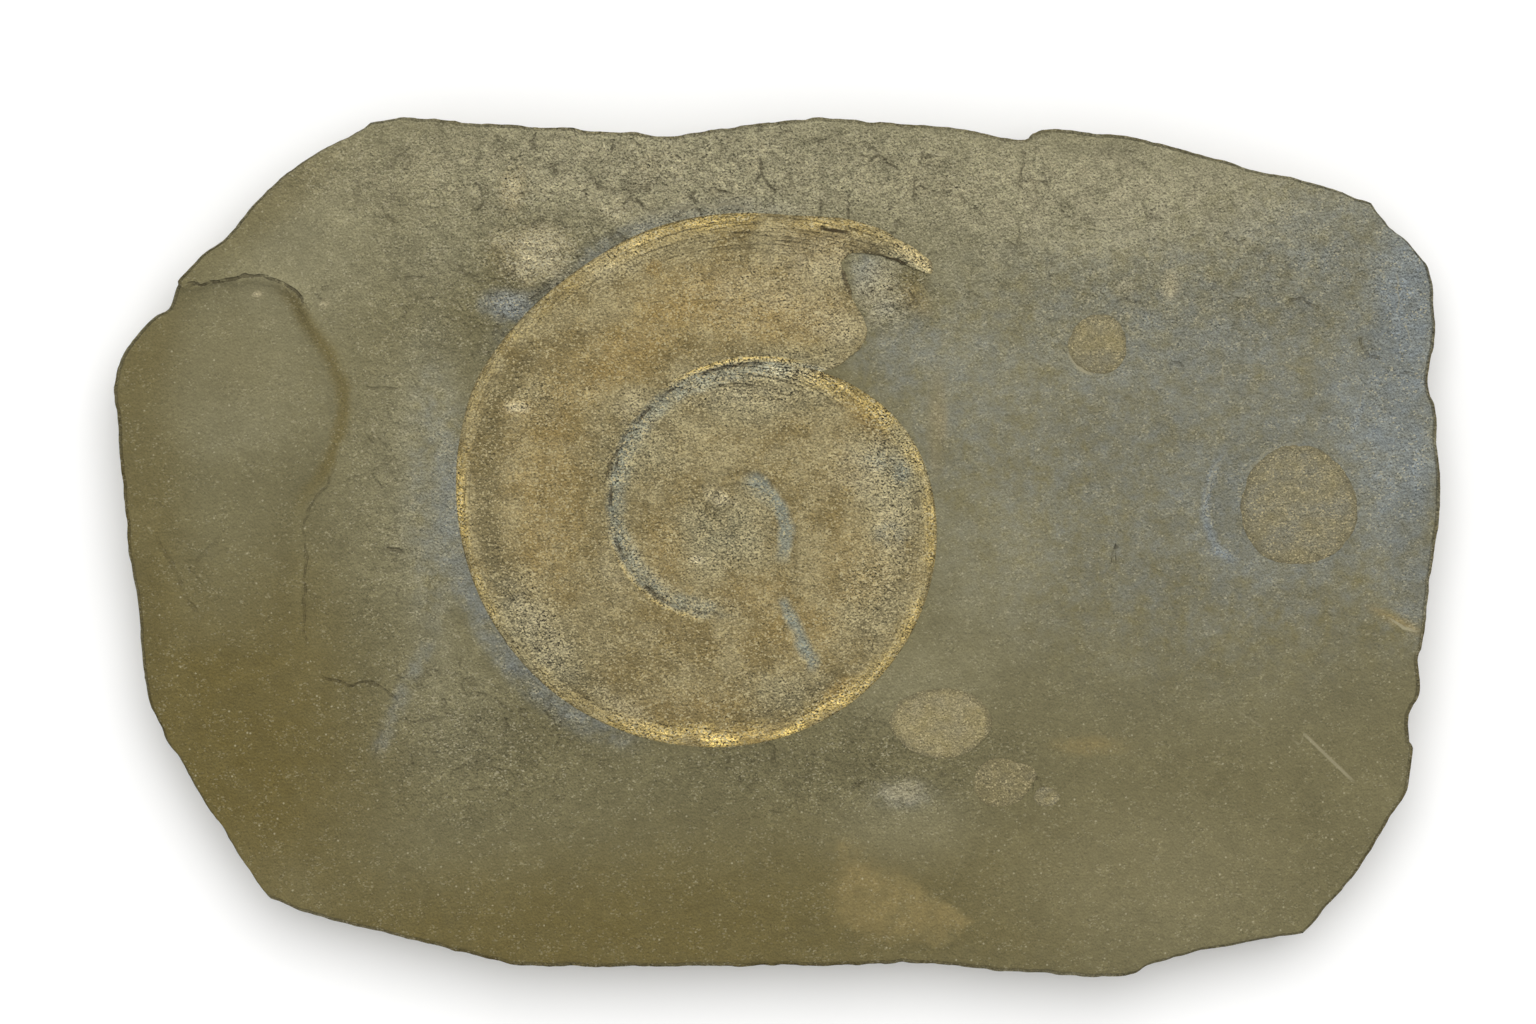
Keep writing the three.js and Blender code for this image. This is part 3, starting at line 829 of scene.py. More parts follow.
class Tree:
    """Short calls for building one node tree, a material's or a group's."""

    def __init__(self, tree: bpy.types.NodeTree) -> None:
        """Empties the tree and keeps hold of it.

        Args:
            tree: The node tree of a material or of a group.
        """
        self.tree = tree
        tree.nodes.clear()

    def add(self, kind: str, inputs: dict[str | int, Input] | None = None,
            **settings: object) -> bpy.types.Node:
        """Adds a node, sets its properties and feeds its inputs.

        Args:
            kind: The node's type after the ShaderNode prefix.
            inputs: Values or sockets by input name or number.
            **settings: The node's own properties.

        Returns:
            The node.
        """
        node = self.tree.nodes.new("ShaderNode" + kind)
        for name, value in settings.items():
            setattr(node, name, value)
        return self.feed(node, inputs or {})

    def feed(self, node: bpy.types.Node, inputs: dict[str | int, Input]) -> bpy.types.Node:
        """Links or sets a node's inputs.

        Args:
            node: The node.
            inputs: Values or sockets by input name or number.

        Returns:
            The node.
        """
        for name, value in inputs.items():
            if isinstance(value, Socket):
                self.tree.links.new(value, node.inputs[name])
            else:
                node.inputs[name].default_value = value
        return node

    def math(self, operation: str, a: Input, b: Input = 0.0, clamp: bool = False) -> Socket:
        """One arithmetic step on two values.

        Args:
            operation: Name of the step, such as ADD.
            a: First value.
            b: Second value.
            clamp: Whether the result is kept between nought and one.

        Returns:
            The result.
        """
        node = self.add("Math", {0: a, 1: b}, operation=operation, use_clamp=clamp)
        return node.outputs[0]

    def plus(self, *values: Input) -> Socket:
        """Sum of two or more values.

        Args:
            *values: The values.

        Returns:
            The sum.
        """
        return functools.reduce(lambda a, b: self.math("ADD", a, b), values)

    def times(self, *values: Input) -> Socket:
        """Product of two or more values.

        Args:
            *values: The values.

        Returns:
            The product.
        """
        return functools.reduce(lambda a, b: self.math("MULTIPLY", a, b), values)

    def step(self, value: Input, low: float, high: float) -> Socket:
        """Smooth step of a value, nought below low and one above high.

        Args:
            value: The value.
            low: Where it starts.
            high: Where it ends, which may be below low.

        Returns:
            The result.
        """
        inputs = {"Value": value, "From Min": low, "From Max": high}
        return self.add("MapRange", inputs, interpolation_type="SMOOTHSTEP").outputs["Result"]

    def mix(self, factor: Input, a: Input, b: Input, blend: str = "MIX") -> Socket:
        """Blends colour b over colour a.

        Args:
            factor: How much of b is laid over a.
            a: The colour below.
            b: The colour above.
            blend: Name of the way of blending.

        Returns:
            The blended colour.
        """
        node = self.add("Mix", data_type="RGBA", blend_type=blend)
        return self.feed(node, {0: factor, 6: a, 7: b}).outputs[2]

    def noise(self, vector: Socket, scale: float, detail: float = 2.0, rough: float = 0.5) -> Socket:
        """Noise about a half.

        Args:
            vector: Places in millimetres.
            scale: Lumps a millimetre.
            detail: How many finer layers are added.
            rough: Strength of each finer layer as a share of the one before.

        Returns:
            The noise.
        """
        inputs = {"Vector": vector, "Scale": scale, "Detail": detail, "Roughness": rough}
        return self.add("TexNoise", inputs).outputs["Fac"]

    def stretched(self, vector: Socket, scale: tuple[float, float, float]) -> Socket:
        """A vector with each axis scaled on its own.

        Args:
            vector: The vector.
            scale: Factor of each axis.

        Returns:
            The scaled vector.
        """
        return self.add("Mapping", {"Vector": vector, "Scale": scale}).outputs[0]

    def frayed(self, vector: Socket, scale: float, reach: float) -> Socket:
        """Places shifted by noise.

        Args:
            vector: The places.
            scale: Lumps of the noise a millimetre.
            reach: How far it shifts, in millimetres, for noise from nought to one.

        Returns:
            The shifted places.
        """
        noise = self.add("TexNoise", {"Vector": vector, "Scale": scale, "Detail": 2.0})
        shift = self.add("VectorMath", {0: noise.outputs["Color"], "Scale": reach},
                         operation="SCALE").outputs[0]
        return self.add("VectorMath", {0: vector, 1: shift}, operation="ADD").outputs[0]

    def mask(self, mask: Mask) -> Socket:
        """A mask that the mesh carries.

        Args:
            mask: Which mask.

        Returns:
            Its value at the shaded place.
        """
        return self.add("Attribute", attribute_name=mask.value).outputs["Fac"]

    def with_masks(self, start: float, gains: tuple[tuple[Mask, float], ...]) -> Socket:
        """A value that grows or shrinks where masks are set.

        Args:
            start: The value where no mask is set.
            gains: Each mask and what it adds where it is one.

        Returns:
            The sum.
        """
        return self.plus(start, *(self.times(self.mask(mask), gain) for mask, gain in gains))

    def group(self, group: bpy.types.NodeTree, inputs: dict[str, Input]) -> bpy.types.Node:
        """Places a group and feeds it.

        Args:
            group: The shader group.
            inputs: Values or sockets by input name.

        Returns:
            The group's node.
        """
        node = self.tree.nodes.new("ShaderNodeGroup")
        node.node_tree = group
        return self.feed(node, inputs)


def new_group(name: str, inputs: dict[str, str], outputs: dict[str, str]) -> tuple[
        bpy.types.NodeTree, Tree, bpy.types.Node, bpy.types.Node]:
    """Starts a shader group with named sockets.

    Args:
        name: The group's name.
        inputs: Socket kind by input name, such as Float or Vector.
        outputs: Socket kind by output name.

    Returns:
        The group, its Tree, its input node and its output node.
    """
    group = bpy.data.node_groups.new(name, "ShaderNodeTree")
    for direction, sockets in (("INPUT", inputs), ("OUTPUT", outputs)):
        for label, kind in sockets.items():
            group.interface.new_socket(label, in_out=direction, socket_type="NodeSocket" + kind)
    tree = Tree(group)
    enter = group.nodes.new("NodeGroupInput")
    leave = group.nodes.new("NodeGroupOutput")
    return group, tree, enter, leave


def grain_group() -> bpy.types.NodeTree:
    """Stone grain: shade, painted light and shade (Lit), bright specks, dark pits and height from places
    in millimetres.

    Returns:
        The group, with inputs Place, Size and Density, and outputs Shade, Lit, Flecks, Specks,
        Pits and Height.
    """
    outputs = {name: "Float" for name in ("Shade", "Lit", "Flecks", "Specks", "Pits", "Height")}
    inputs = {"Place": "Vector", "Size": "Float", "Density": "Float"}
    group, tree, enter, leave = new_group("stone_grain", inputs, outputs)
    fine_scale, cell_scale, blotch_scale = 3.4, 2.2, 0.45  # lumps a millimetre
    streak_scale, grain_scale = (0.4, 2.1, 1.0), (3.9, 5.4, 4.5)  # the same, by axis
    # Lit is painted light and shade: the fine noise less the same noise a step towards the lamp, lighter
    # where a grain's slope faces the lamp
    towards_lamp = (0.05, 0.2, 0.0)
    scaled = tree.add("VectorMath", {0: enter.outputs["Place"], "Scale": enter.outputs["Size"]},
                      operation="SCALE").outputs[0]
    fine = tree.noise(scaled, fine_scale, 2, 0.75)
    beside = tree.add("VectorMath", {0: scaled, 1: towards_lamp}, operation="ADD").outputs[0]
    lit = tree.math("SUBTRACT", fine, tree.noise(beside, fine_scale, 2, 0.75))
    streaks = tree.noise(tree.stretched(scaled, streak_scale), 1.0, 2, 0.65)
    cells = tree.add("TexVoronoi", {"Vector": scaled, "Scale": cell_scale}, feature="F1")
    drawn = tree.add("SeparateColor", {0: cells.outputs["Color"]})
    grains = tree.add("TexVoronoi", {"Vector": tree.stretched(scaled, grain_scale), "Scale": 1.0},
                      feature="F1")
    tones = tree.add("SeparateColor", {0: grains.outputs["Color"]})
    blotch = tree.noise(scaled, blotch_scale, 2, 0.6)
    clumps = tree.step(blotch, 0.42, 0.6)
    limit = tree.math("SUBTRACT", 0.99, tree.times(enter.outputs["Density"], 0.18))
    chosen = tree.math("GREATER_THAN", drawn.outputs[0], limit)
    specks = tree.times(chosen, tree.step(cells.outputs["Distance"], 0.5, 0.15))
    sunken = tree.math("GREATER_THAN", drawn.outputs[1], limit)
    pits = tree.times(sunken, tree.step(cells.outputs["Distance"], 0.6, 0.25))
    rich = tree.plus(tree.times(enter.outputs["Density"], 0.12), tree.times(clumps, 0.1))
    flecks = tree.step(tree.plus(tones.outputs[0], rich), 0.97, 1.03)
    toned = tree.times(tree.plus(tones.outputs[1], -0.5), tree.plus(tree.times(clumps, 0.2), 0.17))
    shade = tree.plus(tree.times(fine, 0.55), toned, tree.times(streaks, 0.25),
                      tree.times(blotch, 0.12))
    height = tree.plus(tree.times(fine, 0.7), tree.times(tones.outputs[0], 0.25))
    tree.feed(leave, {"Shade": shade, "Lit": lit, "Flecks": flecks, "Specks": specks, "Pits": pits,
                      "Height": height})
    return group


def line_group() -> bpy.types.NodeTree:
    """A thin line: strong where the signed distance is small, within a mask.

    Returns:
        The group, with inputs Side, Near and Width, and output Mask.
    """
    inputs = {"Side": "Float", "Near": "Float", "Width": "Float"}
    group, tree, enter, leave = new_group("thin_line", inputs, {"Mask": "Float"})
    distance = tree.math("DIVIDE", tree.math("ABSOLUTE", enter.outputs["Side"]), enter.outputs["Width"])
    line = tree.times(tree.step(distance, 1.0, 0.35), enter.outputs["Near"])
    tree.feed(leave, {"Mask": line})
    return group


def edge_group() -> bpy.types.NodeTree:
    """Breaks up the soft edge of a mask with noise, as a stain's edge is.

    Returns:
        The group, with inputs Mask, Noise and Spread, and output Mask.
    """
    inputs = {"Mask": "Float", "Noise": "Float", "Spread": "Float"}
    group, tree, enter, leave = new_group("ragged_edge", inputs, {"Mask": "Float"})
    shift = tree.times(tree.plus(enter.outputs["Noise"], -0.5), enter.outputs["Spread"])
    masked = tree.times(shift, tree.step(enter.outputs["Mask"], 0.0, 0.2))
    ragged = tree.math("ADD", enter.outputs["Mask"], masked, clamp=True)
    tree.feed(leave, {"Mask": ragged})
    return group


@dataclass(frozen=True)
class Groups:
    """The shader groups that the finishes share."""

    grain: bpy.types.NodeTree
    line: bpy.types.NodeTree
    edge: bpy.types.NodeTree


def start_material(name: str) -> tuple[bpy.types.Material, Tree, Socket]:
    """A new material with its node tree and its places in millimetres.

    Args:
        name: The material's name.

    Returns:
        The material, its Tree, and Object coordinates in millimetres.
    """
    material = bpy.data.materials.new(name)
    material.use_nodes = True
    tree = Tree(material.node_tree)
    place = tree.add("TexCoord").outputs["Object"]
    return material, tree, tree.stretched(place, (1000.0, 1000.0, 1000.0))


def finish_material(tree: Tree, colour: Socket, roughness: Socket, height: Socket, relief: float,
                    specular: float) -> None:
    """Ends a material: bump from the height, and the surface shader with its output.

    Args:
        tree: The material's tree.
        colour: Base colour.
        roughness: Roughness.
        height: Height, as a share of the relief.
        relief: Depth of the fine relief in millimetres.
        specular: Specular level.
    """
    bump = tree.add("Bump", {"Height": height, "Distance": relief * MM, "Strength": 1.0})
    shader = tree.add("BsdfPrincipled", {
        "Base Color": colour, "Roughness": roughness, "Normal": bump.outputs[0],
        "Specular IOR Level": specular,
    })
    tree.add("OutputMaterial", {"Surface": shader.outputs[0]})


def worn(tree: Tree, colour: Socket, strength: float) -> Socket:
    """Paints light and shade into a colour: paler where the mesh stands proud, as painted light, and
    darker in hollows, as painted shade.

    Args:
        tree: The material's tree.
        colour: The colour of a level place.
        strength: How far it swings.

    Returns:
        The shaded colour.
    """
    swing = tree.times(tree.plus(tree.mask(Mask.RELIEF_LIGHT_AND_SHADE), -0.5), strength)
    return tree.mix(1.0, colour, tree.plus(swing, 1.0), "MULTIPLY")


def stained(tree: Tree, groups: Groups, colour: Socket, fray: Socket,
            stains: tuple[tuple[Mask, Colour, float], ...]) -> Socket:
    """Lays stains, and the painted sheen and shade that some masks hold, over a colour, each within the
    ragged edge of its mask.

    Args:
        tree: The material's tree.
        groups: The shared shader groups.
        colour: The colour below.
        fray: Noise that breaks up the edges.
        stains: Mask, colour and raggedness of each stain, in the order they are laid.

    Returns:
        The stained colour.
    """
    for mask, tone, spread in stains:
        soft = tree.group(groups.edge, {"Mask": tree.mask(mask), "Noise": fray, "Spread": spread})
        colour = tree.mix(soft.outputs[0], colour, linear(tone))
    return colour


def drawn_line(tree: Tree, groups: Groups, side: Socket, near: Mask) -> Socket:
    """Where a thin line runs, such as a crack.

    Args:
        tree: The material's tree.
        groups: The shared shader groups.
        side: Signed distance to the line, as a share of its width.
        near: Mask of how strong the line may be.

    Returns:
        A mask, one on the line.
    """
    inputs = {"Side": side, "Near": tree.mask(near), "Width": 1.0}
    return tree.group(groups.line, inputs).outputs[0]


def speckled(tree: Tree, colour: Socket, grain: bpy.types.Node, contrast: Input, bright: Colour,
             strength: float) -> Socket:
    """Lays the grain's shade with its painted light and shade, its specks and pits over a colour.

    Args:
        tree: The material's tree.
        colour: The colour without grain.
        grain: The placed grain group.
        contrast: How far the shade swings the colour.
        bright: Colour of the bright specks.
        strength: How much the specks cover.

    Returns:
        The speckled colour.
    """
    # the grain's Lit lays painted light and shade from its slopes facing the lamp
    shade = tree.plus(grain.outputs["Shade"], -GRAIN_LEVEL, tree.times(grain.outputs["Lit"], 0.5))
    factor = tree.plus(tree.times(shade, contrast), GRAIN_MEAN)
    colour = tree.mix(1.0, colour, factor, "MULTIPLY")
    flecks = tree.times(grain.outputs["Flecks"], tree.times(contrast, 0.23))
    colour = tree.mix(flecks, colour, linear(bright))
    colour = tree.mix(tree.times(grain.outputs["Specks"], strength), colour, linear(bright))
    dark = tree.times(grain.outputs["Pits"], tree.times(contrast, 0.13))
    return tree.mix(dark, colour, linear(PIT_COLOUR))


@dataclass(frozen=True)
class ShaleFinish:
    """Grey-olive shale, browner in places and bluer where a cool sheen is painted, with painted light
    and shade on its relief, speckled, cracked and scratched.
    """

    olive: Colour = (124, 117, 84)
    grey: Colour = (163, 157, 125)
    brown: Colour = (112, 99, 54)
    # blue-grey of the painted cool sheen
    blue: Colour = (134, 141, 141)
    gold: Colour = (156, 138, 90)
    pale: Colour = (184, 173, 137)
    crack: Colour = (58, 48, 28)
    scratch: Colour = (176, 168, 136)
    bright: Colour = (212, 203, 168)
    drift: float = 0.07
    contrast: float = 0.95
    gains: tuple[tuple[Mask, float], ...] = ((Mask.ROUGH, 1.8), (Mask.BLUE_TINT_AND_SHEEN, 1.6), (Mask.PALE, 1.6))
    relief: float = 0.5

    def material(self, groups: Groups) -> bpy.types.Material:
        """Makes the shale material.

        Args:
            groups: The shared shader groups.

        Returns:
            The material.
        """
        material, tree, place = start_material("shale")
        cloud = tree.noise(place, 0.09, 6, 0.62)
        fray = tree.noise(place, 0.35, 6, 0.7)
        rough = tree.mask(Mask.ROUGH)
        density = tree.plus(tree.times(rough, 0.35), tree.times(tree.mask(Mask.PALE), 1.5))
        grain = tree.group(groups.grain, {"Place": place, "Size": 1.0, "Density": density})

        darker, lighter = (tuple(c * share for c in linear(self.olive)[:3]) + (1.0,)
                           for share in (1 - self.drift, 1 + self.drift))
        colour = tree.mix(tree.step(cloud, 0.3, 0.7), darker, lighter)
        colour = stained(tree, groups, colour, fray, (
            (Mask.GREY, self.grey, 0.5), (Mask.BROWN_AND_SHADE, self.brown, 0.5), (Mask.BLUE_TINT_AND_SHEEN, self.blue, 1.3),
            (Mask.GOLD, self.gold, 1.3), (Mask.PALE, self.pale, 1.8),
        ))

        # painted light and shade on the face: paler where it stands proud, darker in its hollows
        colour = worn(tree, colour, 0.5)
        side = tree.mask(Mask.SIDE)
        bands = tree.noise(tree.stretched(place, (0.03, 0.03, 1.3)), 1.0, 5, 0.75)
        layered = tree.mix(tree.step(bands, 0.35, 0.68), linear(self.brown), linear(self.grey))
        colour = tree.mix(side, colour, layered)

        # painted light and shade on the flaked ledges, from the coarse grain's slopes facing the lamp
        coarse = tree.group(groups.grain, {"Place": place, "Size": 0.27, "Density": 0.0})
        painted_ledge_shade = tree.times(coarse.outputs["Lit"], rough, 0.8)
        colour = tree.mix(1.0, colour, tree.plus(painted_ledge_shade, 1.0), "MULTIPLY")
        contrast = tree.with_masks(self.contrast, self.gains)
        colour = speckled(tree, colour, grain, contrast, self.bright, 0.5)

        ragged = tree.times(tree.plus(fray, -0.5), 1.6)
        crack_and_shadow_side = tree.plus(tree.mask(Mask.CRACK_AND_SHADOW_SIDE), ragged)
        crack = drawn_line(tree, groups, crack_and_shadow_side, Mask.CRACK_AND_SHADOW_NEAR)
        scratch = drawn_line(tree, groups, tree.mask(Mask.SCRATCH_SIDE), Mask.SCRATCH_NEAR)
        veins = tree.add("TexVoronoi", {"Vector": tree.frayed(place, 0.4, 3.0), "Scale": 0.16},
                         feature="DISTANCE_TO_EDGE").outputs["Distance"]
        broken = tree.step(tree.noise(place, 0.25, 3, 0.6), 0.52, 0.6)
        veins = tree.times(tree.step(veins, 0.045, 0.01), rough, broken, 0.5)
        crack = tree.times(crack, tree.step(tree.noise(place, 0.8, 2, 0.6), 0.3, 0.56))
        crack = tree.math("MAXIMUM", crack, veins)
        colour = tree.mix(crack, colour, linear(self.crack))
        colour = tree.mix(scratch, colour, linear(self.scratch))

        amount = tree.plus(tree.times(rough, 0.9), 0.45)
        hackly = tree.noise(tree.stretched(place, (0.5, 0.8, 0.8)), 1.0, 2, 0.65)
        height = tree.plus(tree.times(grain.outputs["Height"], amount), tree.times(hackly, rough, 2.0),
                           tree.times(crack, -1.6), tree.times(bands, side, 3.0))
        roughness = tree.with_masks(0.82, ((Mask.BLUE_TINT_AND_SHEEN, -0.22),))
        finish_material(tree, colour, roughness, height, self.relief, 0.2)
        return material


@dataclass(frozen=True)
class AmmoniteFinish:
    """Grainy ochre shell: golden rim, blue-grey seams of painted cool sheen, fine lines along the coil,
    and painted light and shade on its relief.
    """

    ochre: Colour = (144, 127, 82)
    light: Colour = (171, 157, 114)
    dusk: Colour = (124, 112, 74)
    rim: Colour = (206, 180, 108)
    bright: Colour = (234, 208, 138)
    pale: Colour = (184, 173, 138)
    gold: Colour = (173, 146, 86)
    # blue-grey of the seams, a painted cool sheen, and of the bare scar and arc
    seam: Colour = (150, 154, 138)
    grey: Colour = (149, 145, 116)
    # dark of the hairline cracks, also laid as the painted shadow under the inner rim
    crack: Colour = (66, 52, 28)
    speck: Colour = (230, 214, 164)
    contrast: float = 2.3
    gains: tuple[tuple[Mask, float], ...] = (
        (Mask.GREY, 2.9), (Mask.RIM, 3.4), (Mask.GROOVE, 2.8), (Mask.PALE, 2.8),
    )
    relief: float = 0.6

    def material(self, groups: Groups) -> bpy.types.Material:
        """Makes the ammonite's material.

        Args:
            groups: The shared shader groups.

        Returns:
            The material.
        """
        material, tree, place = start_material("ammonite_shell")
        grain = tree.group(groups.grain, {"Place": place, "Size": 1.0, "Density": 0.6})
        coil = tree.add("UVMap", uv_map="along_coil").outputs[0]
        lines = tree.noise(tree.stretched(coil, (0.12, 2.6, 1.0)), 1.0, 4, 0.65)
        cloud = tree.noise(place, 0.16, 6, 0.65)
        fray = tree.noise(place, 0.5, 6, 0.72)

        colour = tree.mix(tree.step(cloud, 0.36, 0.62), linear(self.ochre), linear(self.light))
        colour = stained(tree, groups, colour, fray, (
            (Mask.BROWN_AND_SHADE, self.dusk, 0.7), (Mask.GREY, self.grey, 0.9), (Mask.GOLD, self.gold, 1.1),
            (Mask.PALE, self.pale, 1.6), (Mask.RIM, self.rim, 1.1), (Mask.GROOVE, self.seam, 1.5),
            (Mask.BLUE_TINT_AND_SHEEN, self.seam, 1.2),
        ))
        streak = tree.times(tree.step(lines, 0.5, 0.62), tree.mask(Mask.RIM), 0.6)
        colour = tree.mix(streak, colour, linear(self.bright))
        # painted light and shade on the shell: paler where it stands proud, darker in hollows, with the
        # painted highlights of rim and thread
        colour = worn(tree, colour, 0.7)
        contrast = tree.with_masks(self.contrast, self.gains)
        colour = speckled(tree, colour, grain, contrast, self.speck, 0.8)

        striped = tree.times(tree.step(lines, 0.46, 0.36), tree.mask(Mask.ROUGH))
        # the crack mask also holds the painted shadow under the inner rim
        crack = drawn_line(tree, groups, tree.mask(Mask.CRACK_AND_SHADOW_SIDE), Mask.CRACK_AND_SHADOW_NEAR)
        colour = tree.mix(tree.times(striped, 0.28), colour, linear(self.crack))
        colour = tree.mix(crack, colour, linear(self.crack))

        height = tree.plus(grain.outputs["Height"], tree.times(striped, -0.9), tree.times(crack, -1.2))
        roughness = tree.with_masks(0.72, ((Mask.RIM, -0.16),))
        finish_material(tree, colour, roughness, height, self.relief, 0.25)
        return material


@dataclass(frozen=True)
class ShellFinish:
    """Thin tan shell film, speckled, darker or paler towards its edge."""

    film: Colour = (140, 136, 115)
    warm: Colour = (155, 142, 96)
    pale: Colour = (178, 166, 130)
    edge: Colour = (127, 119, 90)
    speck: Colour = (226, 210, 160)
    contrast: float = 1.9
    relief: float = 0.45

    def material(self, groups: Groups) -> bpy.types.Material:
        """Makes the small shells' material.

        Args:
            groups: The shared shader groups.

        Returns:
            The material.
        """
        material, tree, place = start_material("small_shell")
        grain = tree.group(groups.grain, {"Place": place, "Size": 1.1, "Density": 0.5})
        fray = tree.noise(place, 0.6, 5, 0.7)
        cloud = tree.noise(place, 0.28, 3, 0.6)
        film = stained(tree, groups, linear(self.film), cloud, ((Mask.GOLD, self.warm, 1.7),))
        colour = stained(tree, groups, film, fray, (
            (Mask.PALE, self.pale, 1.0), (Mask.RIM, self.edge, 0.9),
        ))
        colour = speckled(tree, colour, grain, self.contrast, self.speck, 0.8)
        roughness = tree.plus(tree.times(fray, 0.1), 0.7)
        finish_material(tree, colour, roughness, grain.outputs["Height"], self.relief, 0.25)
        return material


@dataclass
class ShaleSlab:
    """The loose slab of shale, with its lower bench and a bed for each fossil.

    Length and width are about the face's own. The rings lie at shares of the height and of the
    way out from the underside's middle, which is hollow by a little.
    """

    shells: list["SmallShell"]
    cells_long: int = 300
    cells_wide: int = 206
    wear: float = 1.4
    worn_drop: float = 0.6
    flake_rise: float = 0.22
    moat_depth: float = 0.12
    bed_drop: float = 1.2
    shell_bed_drop: float = 0.6
    length: float = 180
    width: float = 120
    hollow: float = 0.1
    spread: tuple[float, ...] = (0.28, 0.12, 0.08, 0.17)
    rings_beside: tuple[float, ...] = (
        0.975, 0.93, 0.885, 0.84, 0.79, 0.73, 0.66, 0.59, 0.52, 0.47, 0.4, 0.32, 0.25, 0.18, 0.1,
        0.03, 0.0,
    )
    rings_below: tuple[float, ...] = (0.985, 0.94, 0.86, 0.74, 0.6, 0.44, 0.28, 0.12)

    def edge(self, name: str, cells: int) -> Array:
        """One broken edge: a smooth curve through its points at even steps, slightly chipped.

        Args:
            name: Which edge.
            cells: How many steps.

        Returns:
            Points along the edge.
        """
        knots = np.array(EDGE[name], dtype=float)
        padded = np.vstack([knots[0], knots, knots[-1]])
        t = np.linspace(0, len(knots) - 1, 40 * len(knots))
        i = np.clip(t.astype(int), 0, len(knots) - 2)
        f = (t - i)[:, None]
        p0, p1, p2, p3 = (padded[i + k] for k in range(4))
        curve = 0.5 * (2 * p1 + (p2 - p0) * f + (2 * p0 - 5 * p1 + 4 * p2 - p3) * f ** 2
                       + (3 * p1 - p0 - 3 * p2 + p3) * f ** 3)
        travel = np.r_[0, np.cumsum(np.hypot(*np.diff(curve, axis=0).T))]
        even = np.linspace(0, travel[-1], cells + 1)
        line = np.column_stack([np.interp(even, travel, curve[:, axis]) for axis in (0, 1)])
        tangent = np.gradient(line, axis=0)
        tangent /= np.hypot(*tangent.T)[:, None]
        seed = 200 + 10 * len(name)
        chips = 0.2 * noise(even, 0 * even, 5, seed, 2) + 0.08 * noise(even, 0 * even, 1.6, seed + 3, 2)
        chips = chips * smooth(np.minimum(even, travel[-1] - even), 0, 3)
        return line + chips[:, None] * np.column_stack([-tangent[:, 1], tangent[:, 0]])

    def plan(self) -> tuple[Array, Array, Array]:
        """The face in plan: its four edges blended across, and the way to the nearest edge.

        Each point is the blend of the two facing edges along both directions, less the blend of
        the four corners.

        Returns:
            X, Y and the distance to the border, each an array of rows by columns.
        """
        bottom, top = self.edge("bottom", self.cells_long), self.edge("top", self.cells_long)
        left, right = self.edge("left", self.cells_wide), self.edge("right", self.cells_wide)
        u = np.linspace(0, 1, self.cells_long + 1)[None, :, None]
        v = np.linspace(0, 1, self.cells_wide + 1)[:, None, None]
        along = bottom[None] * (1 - v) + top[None] * v
        across = left[:, None] * (1 - u) + right[:, None] * u
        low = bottom[0] * (1 - u) + bottom[-1] * u
        high = top[0] * (1 - u) + top[-1] * u
        plan = along + across - (low * (1 - v) + high * v)
        border = np.minimum(np.minimum(u, 1 - u) * self.length, np.minimum(v, 1 - v) * self.width)
        return plan[..., 0], plan[..., 1], border[..., 0]

    def fit(self, x: Array, y: Array) -> tuple[Array, Array]:
        """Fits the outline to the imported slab's box, a shift and a scale near one.

        The chipped outline may stand out of the box by the slab's spread at the left, right,
        bottom and top.

        Args:
            x: Places along X.
            y: Places along Y.

        Returns:
            Fitted X and Y.
        """
        low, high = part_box("shale_slab")
        left, right, below, above = self.spread
        fitted = []
        for values, start, end in ((x, low[0] / MM - left, high[0] / MM + right),
                                   (y, low[1] / MM - below, high[1] / MM + above)):
            share = (values - values.min()) / (values.max() - values.min())
            fitted.append(start + share * (end - start))
        return fitted[0], fitted[1]

    def bench(self, x: Array, y: Array) -> Array:
        """Depth inside the lower bench's outline, negative outside it.

        Args:
            x: Places along X.
            y: Places along Y.

        Returns:
            The depth in millimetres, the outline slightly bent by noise.
        """
        bent = 0.3 * noise(x, y, 2.5, 31, 2)
        return depth_inside(BENCH, x + bent, y - bent)

    def flake(self, x: Array, y: Array) -> Array:
        """Depth inside the tan flake's ragged outline, negative outside it.

        Args:
            x: Places along X.
            y: Places along Y.

        Returns:
            The depth in millimetres, the outline bent by noise.
        """
        bent = 0.9 * noise(x, y, 4, 33, 3)
        return depth_inside(FLAKE, x + bent, y - bent)

    def top(self, x: Array, y: Array, border: Array) -> tuple[Array, Array]:
        """Height of the finished face with flakes, bench, beds and worn edge.

        Args:
            x: Places along X.
            y: Places along Y.
            border: Way to the nearest edge.

        Returns:
            Height above the underside, and how raised each place is, worked out without the beds, which
            steers the painted light and shade.
        """
        flaked = total(FLAKED_PATCHES, x, y)
        bench = self.bench(x, y)
        calm = 1 - 0.85 * smooth(bench, -1, 1)
        depth = ammonite_depth(x, y)
        around = smooth(-depth, 0, 5)
        level = face_height(x, y)
        z = level + calm * (0.1 + 0.3 * flaked) * flakes(x, y, 11, 3)
        z = z + calm * around * (0.06 + 0.2 * flaked) * flakes(x, y, 4.2, 9)
        z = z + (0.03 + 0.07 * flaked * calm) * noise(x, y, 1.8, 13, 2)
        flake = self.flake(x, y)
        z = z + self.flake_rise * smooth(flake, -0.3, 0.4) * smooth(x, 14, 22)
        z = z + 0.12 * noise(x, y, 9, 21, 3)
        firm = smooth(y, 27, 37)
        drop = 0.8 * BENCH_DROP * (0.35 + 0.25 * smooth(y, -12, 14) + 0.4 * firm)
        drop = drop * smooth(bench / (3.6 - 2.6 * firm), 0, 1)
        z = z - drop - 0.7 * smooth(bench, 0, 1) * (z - FACE)
        angle, _ = coil_polar(x, y)
        near = smooth(depth, -2.5, -0.2) * (depth <= 2)
        z = z + near * (level - z)
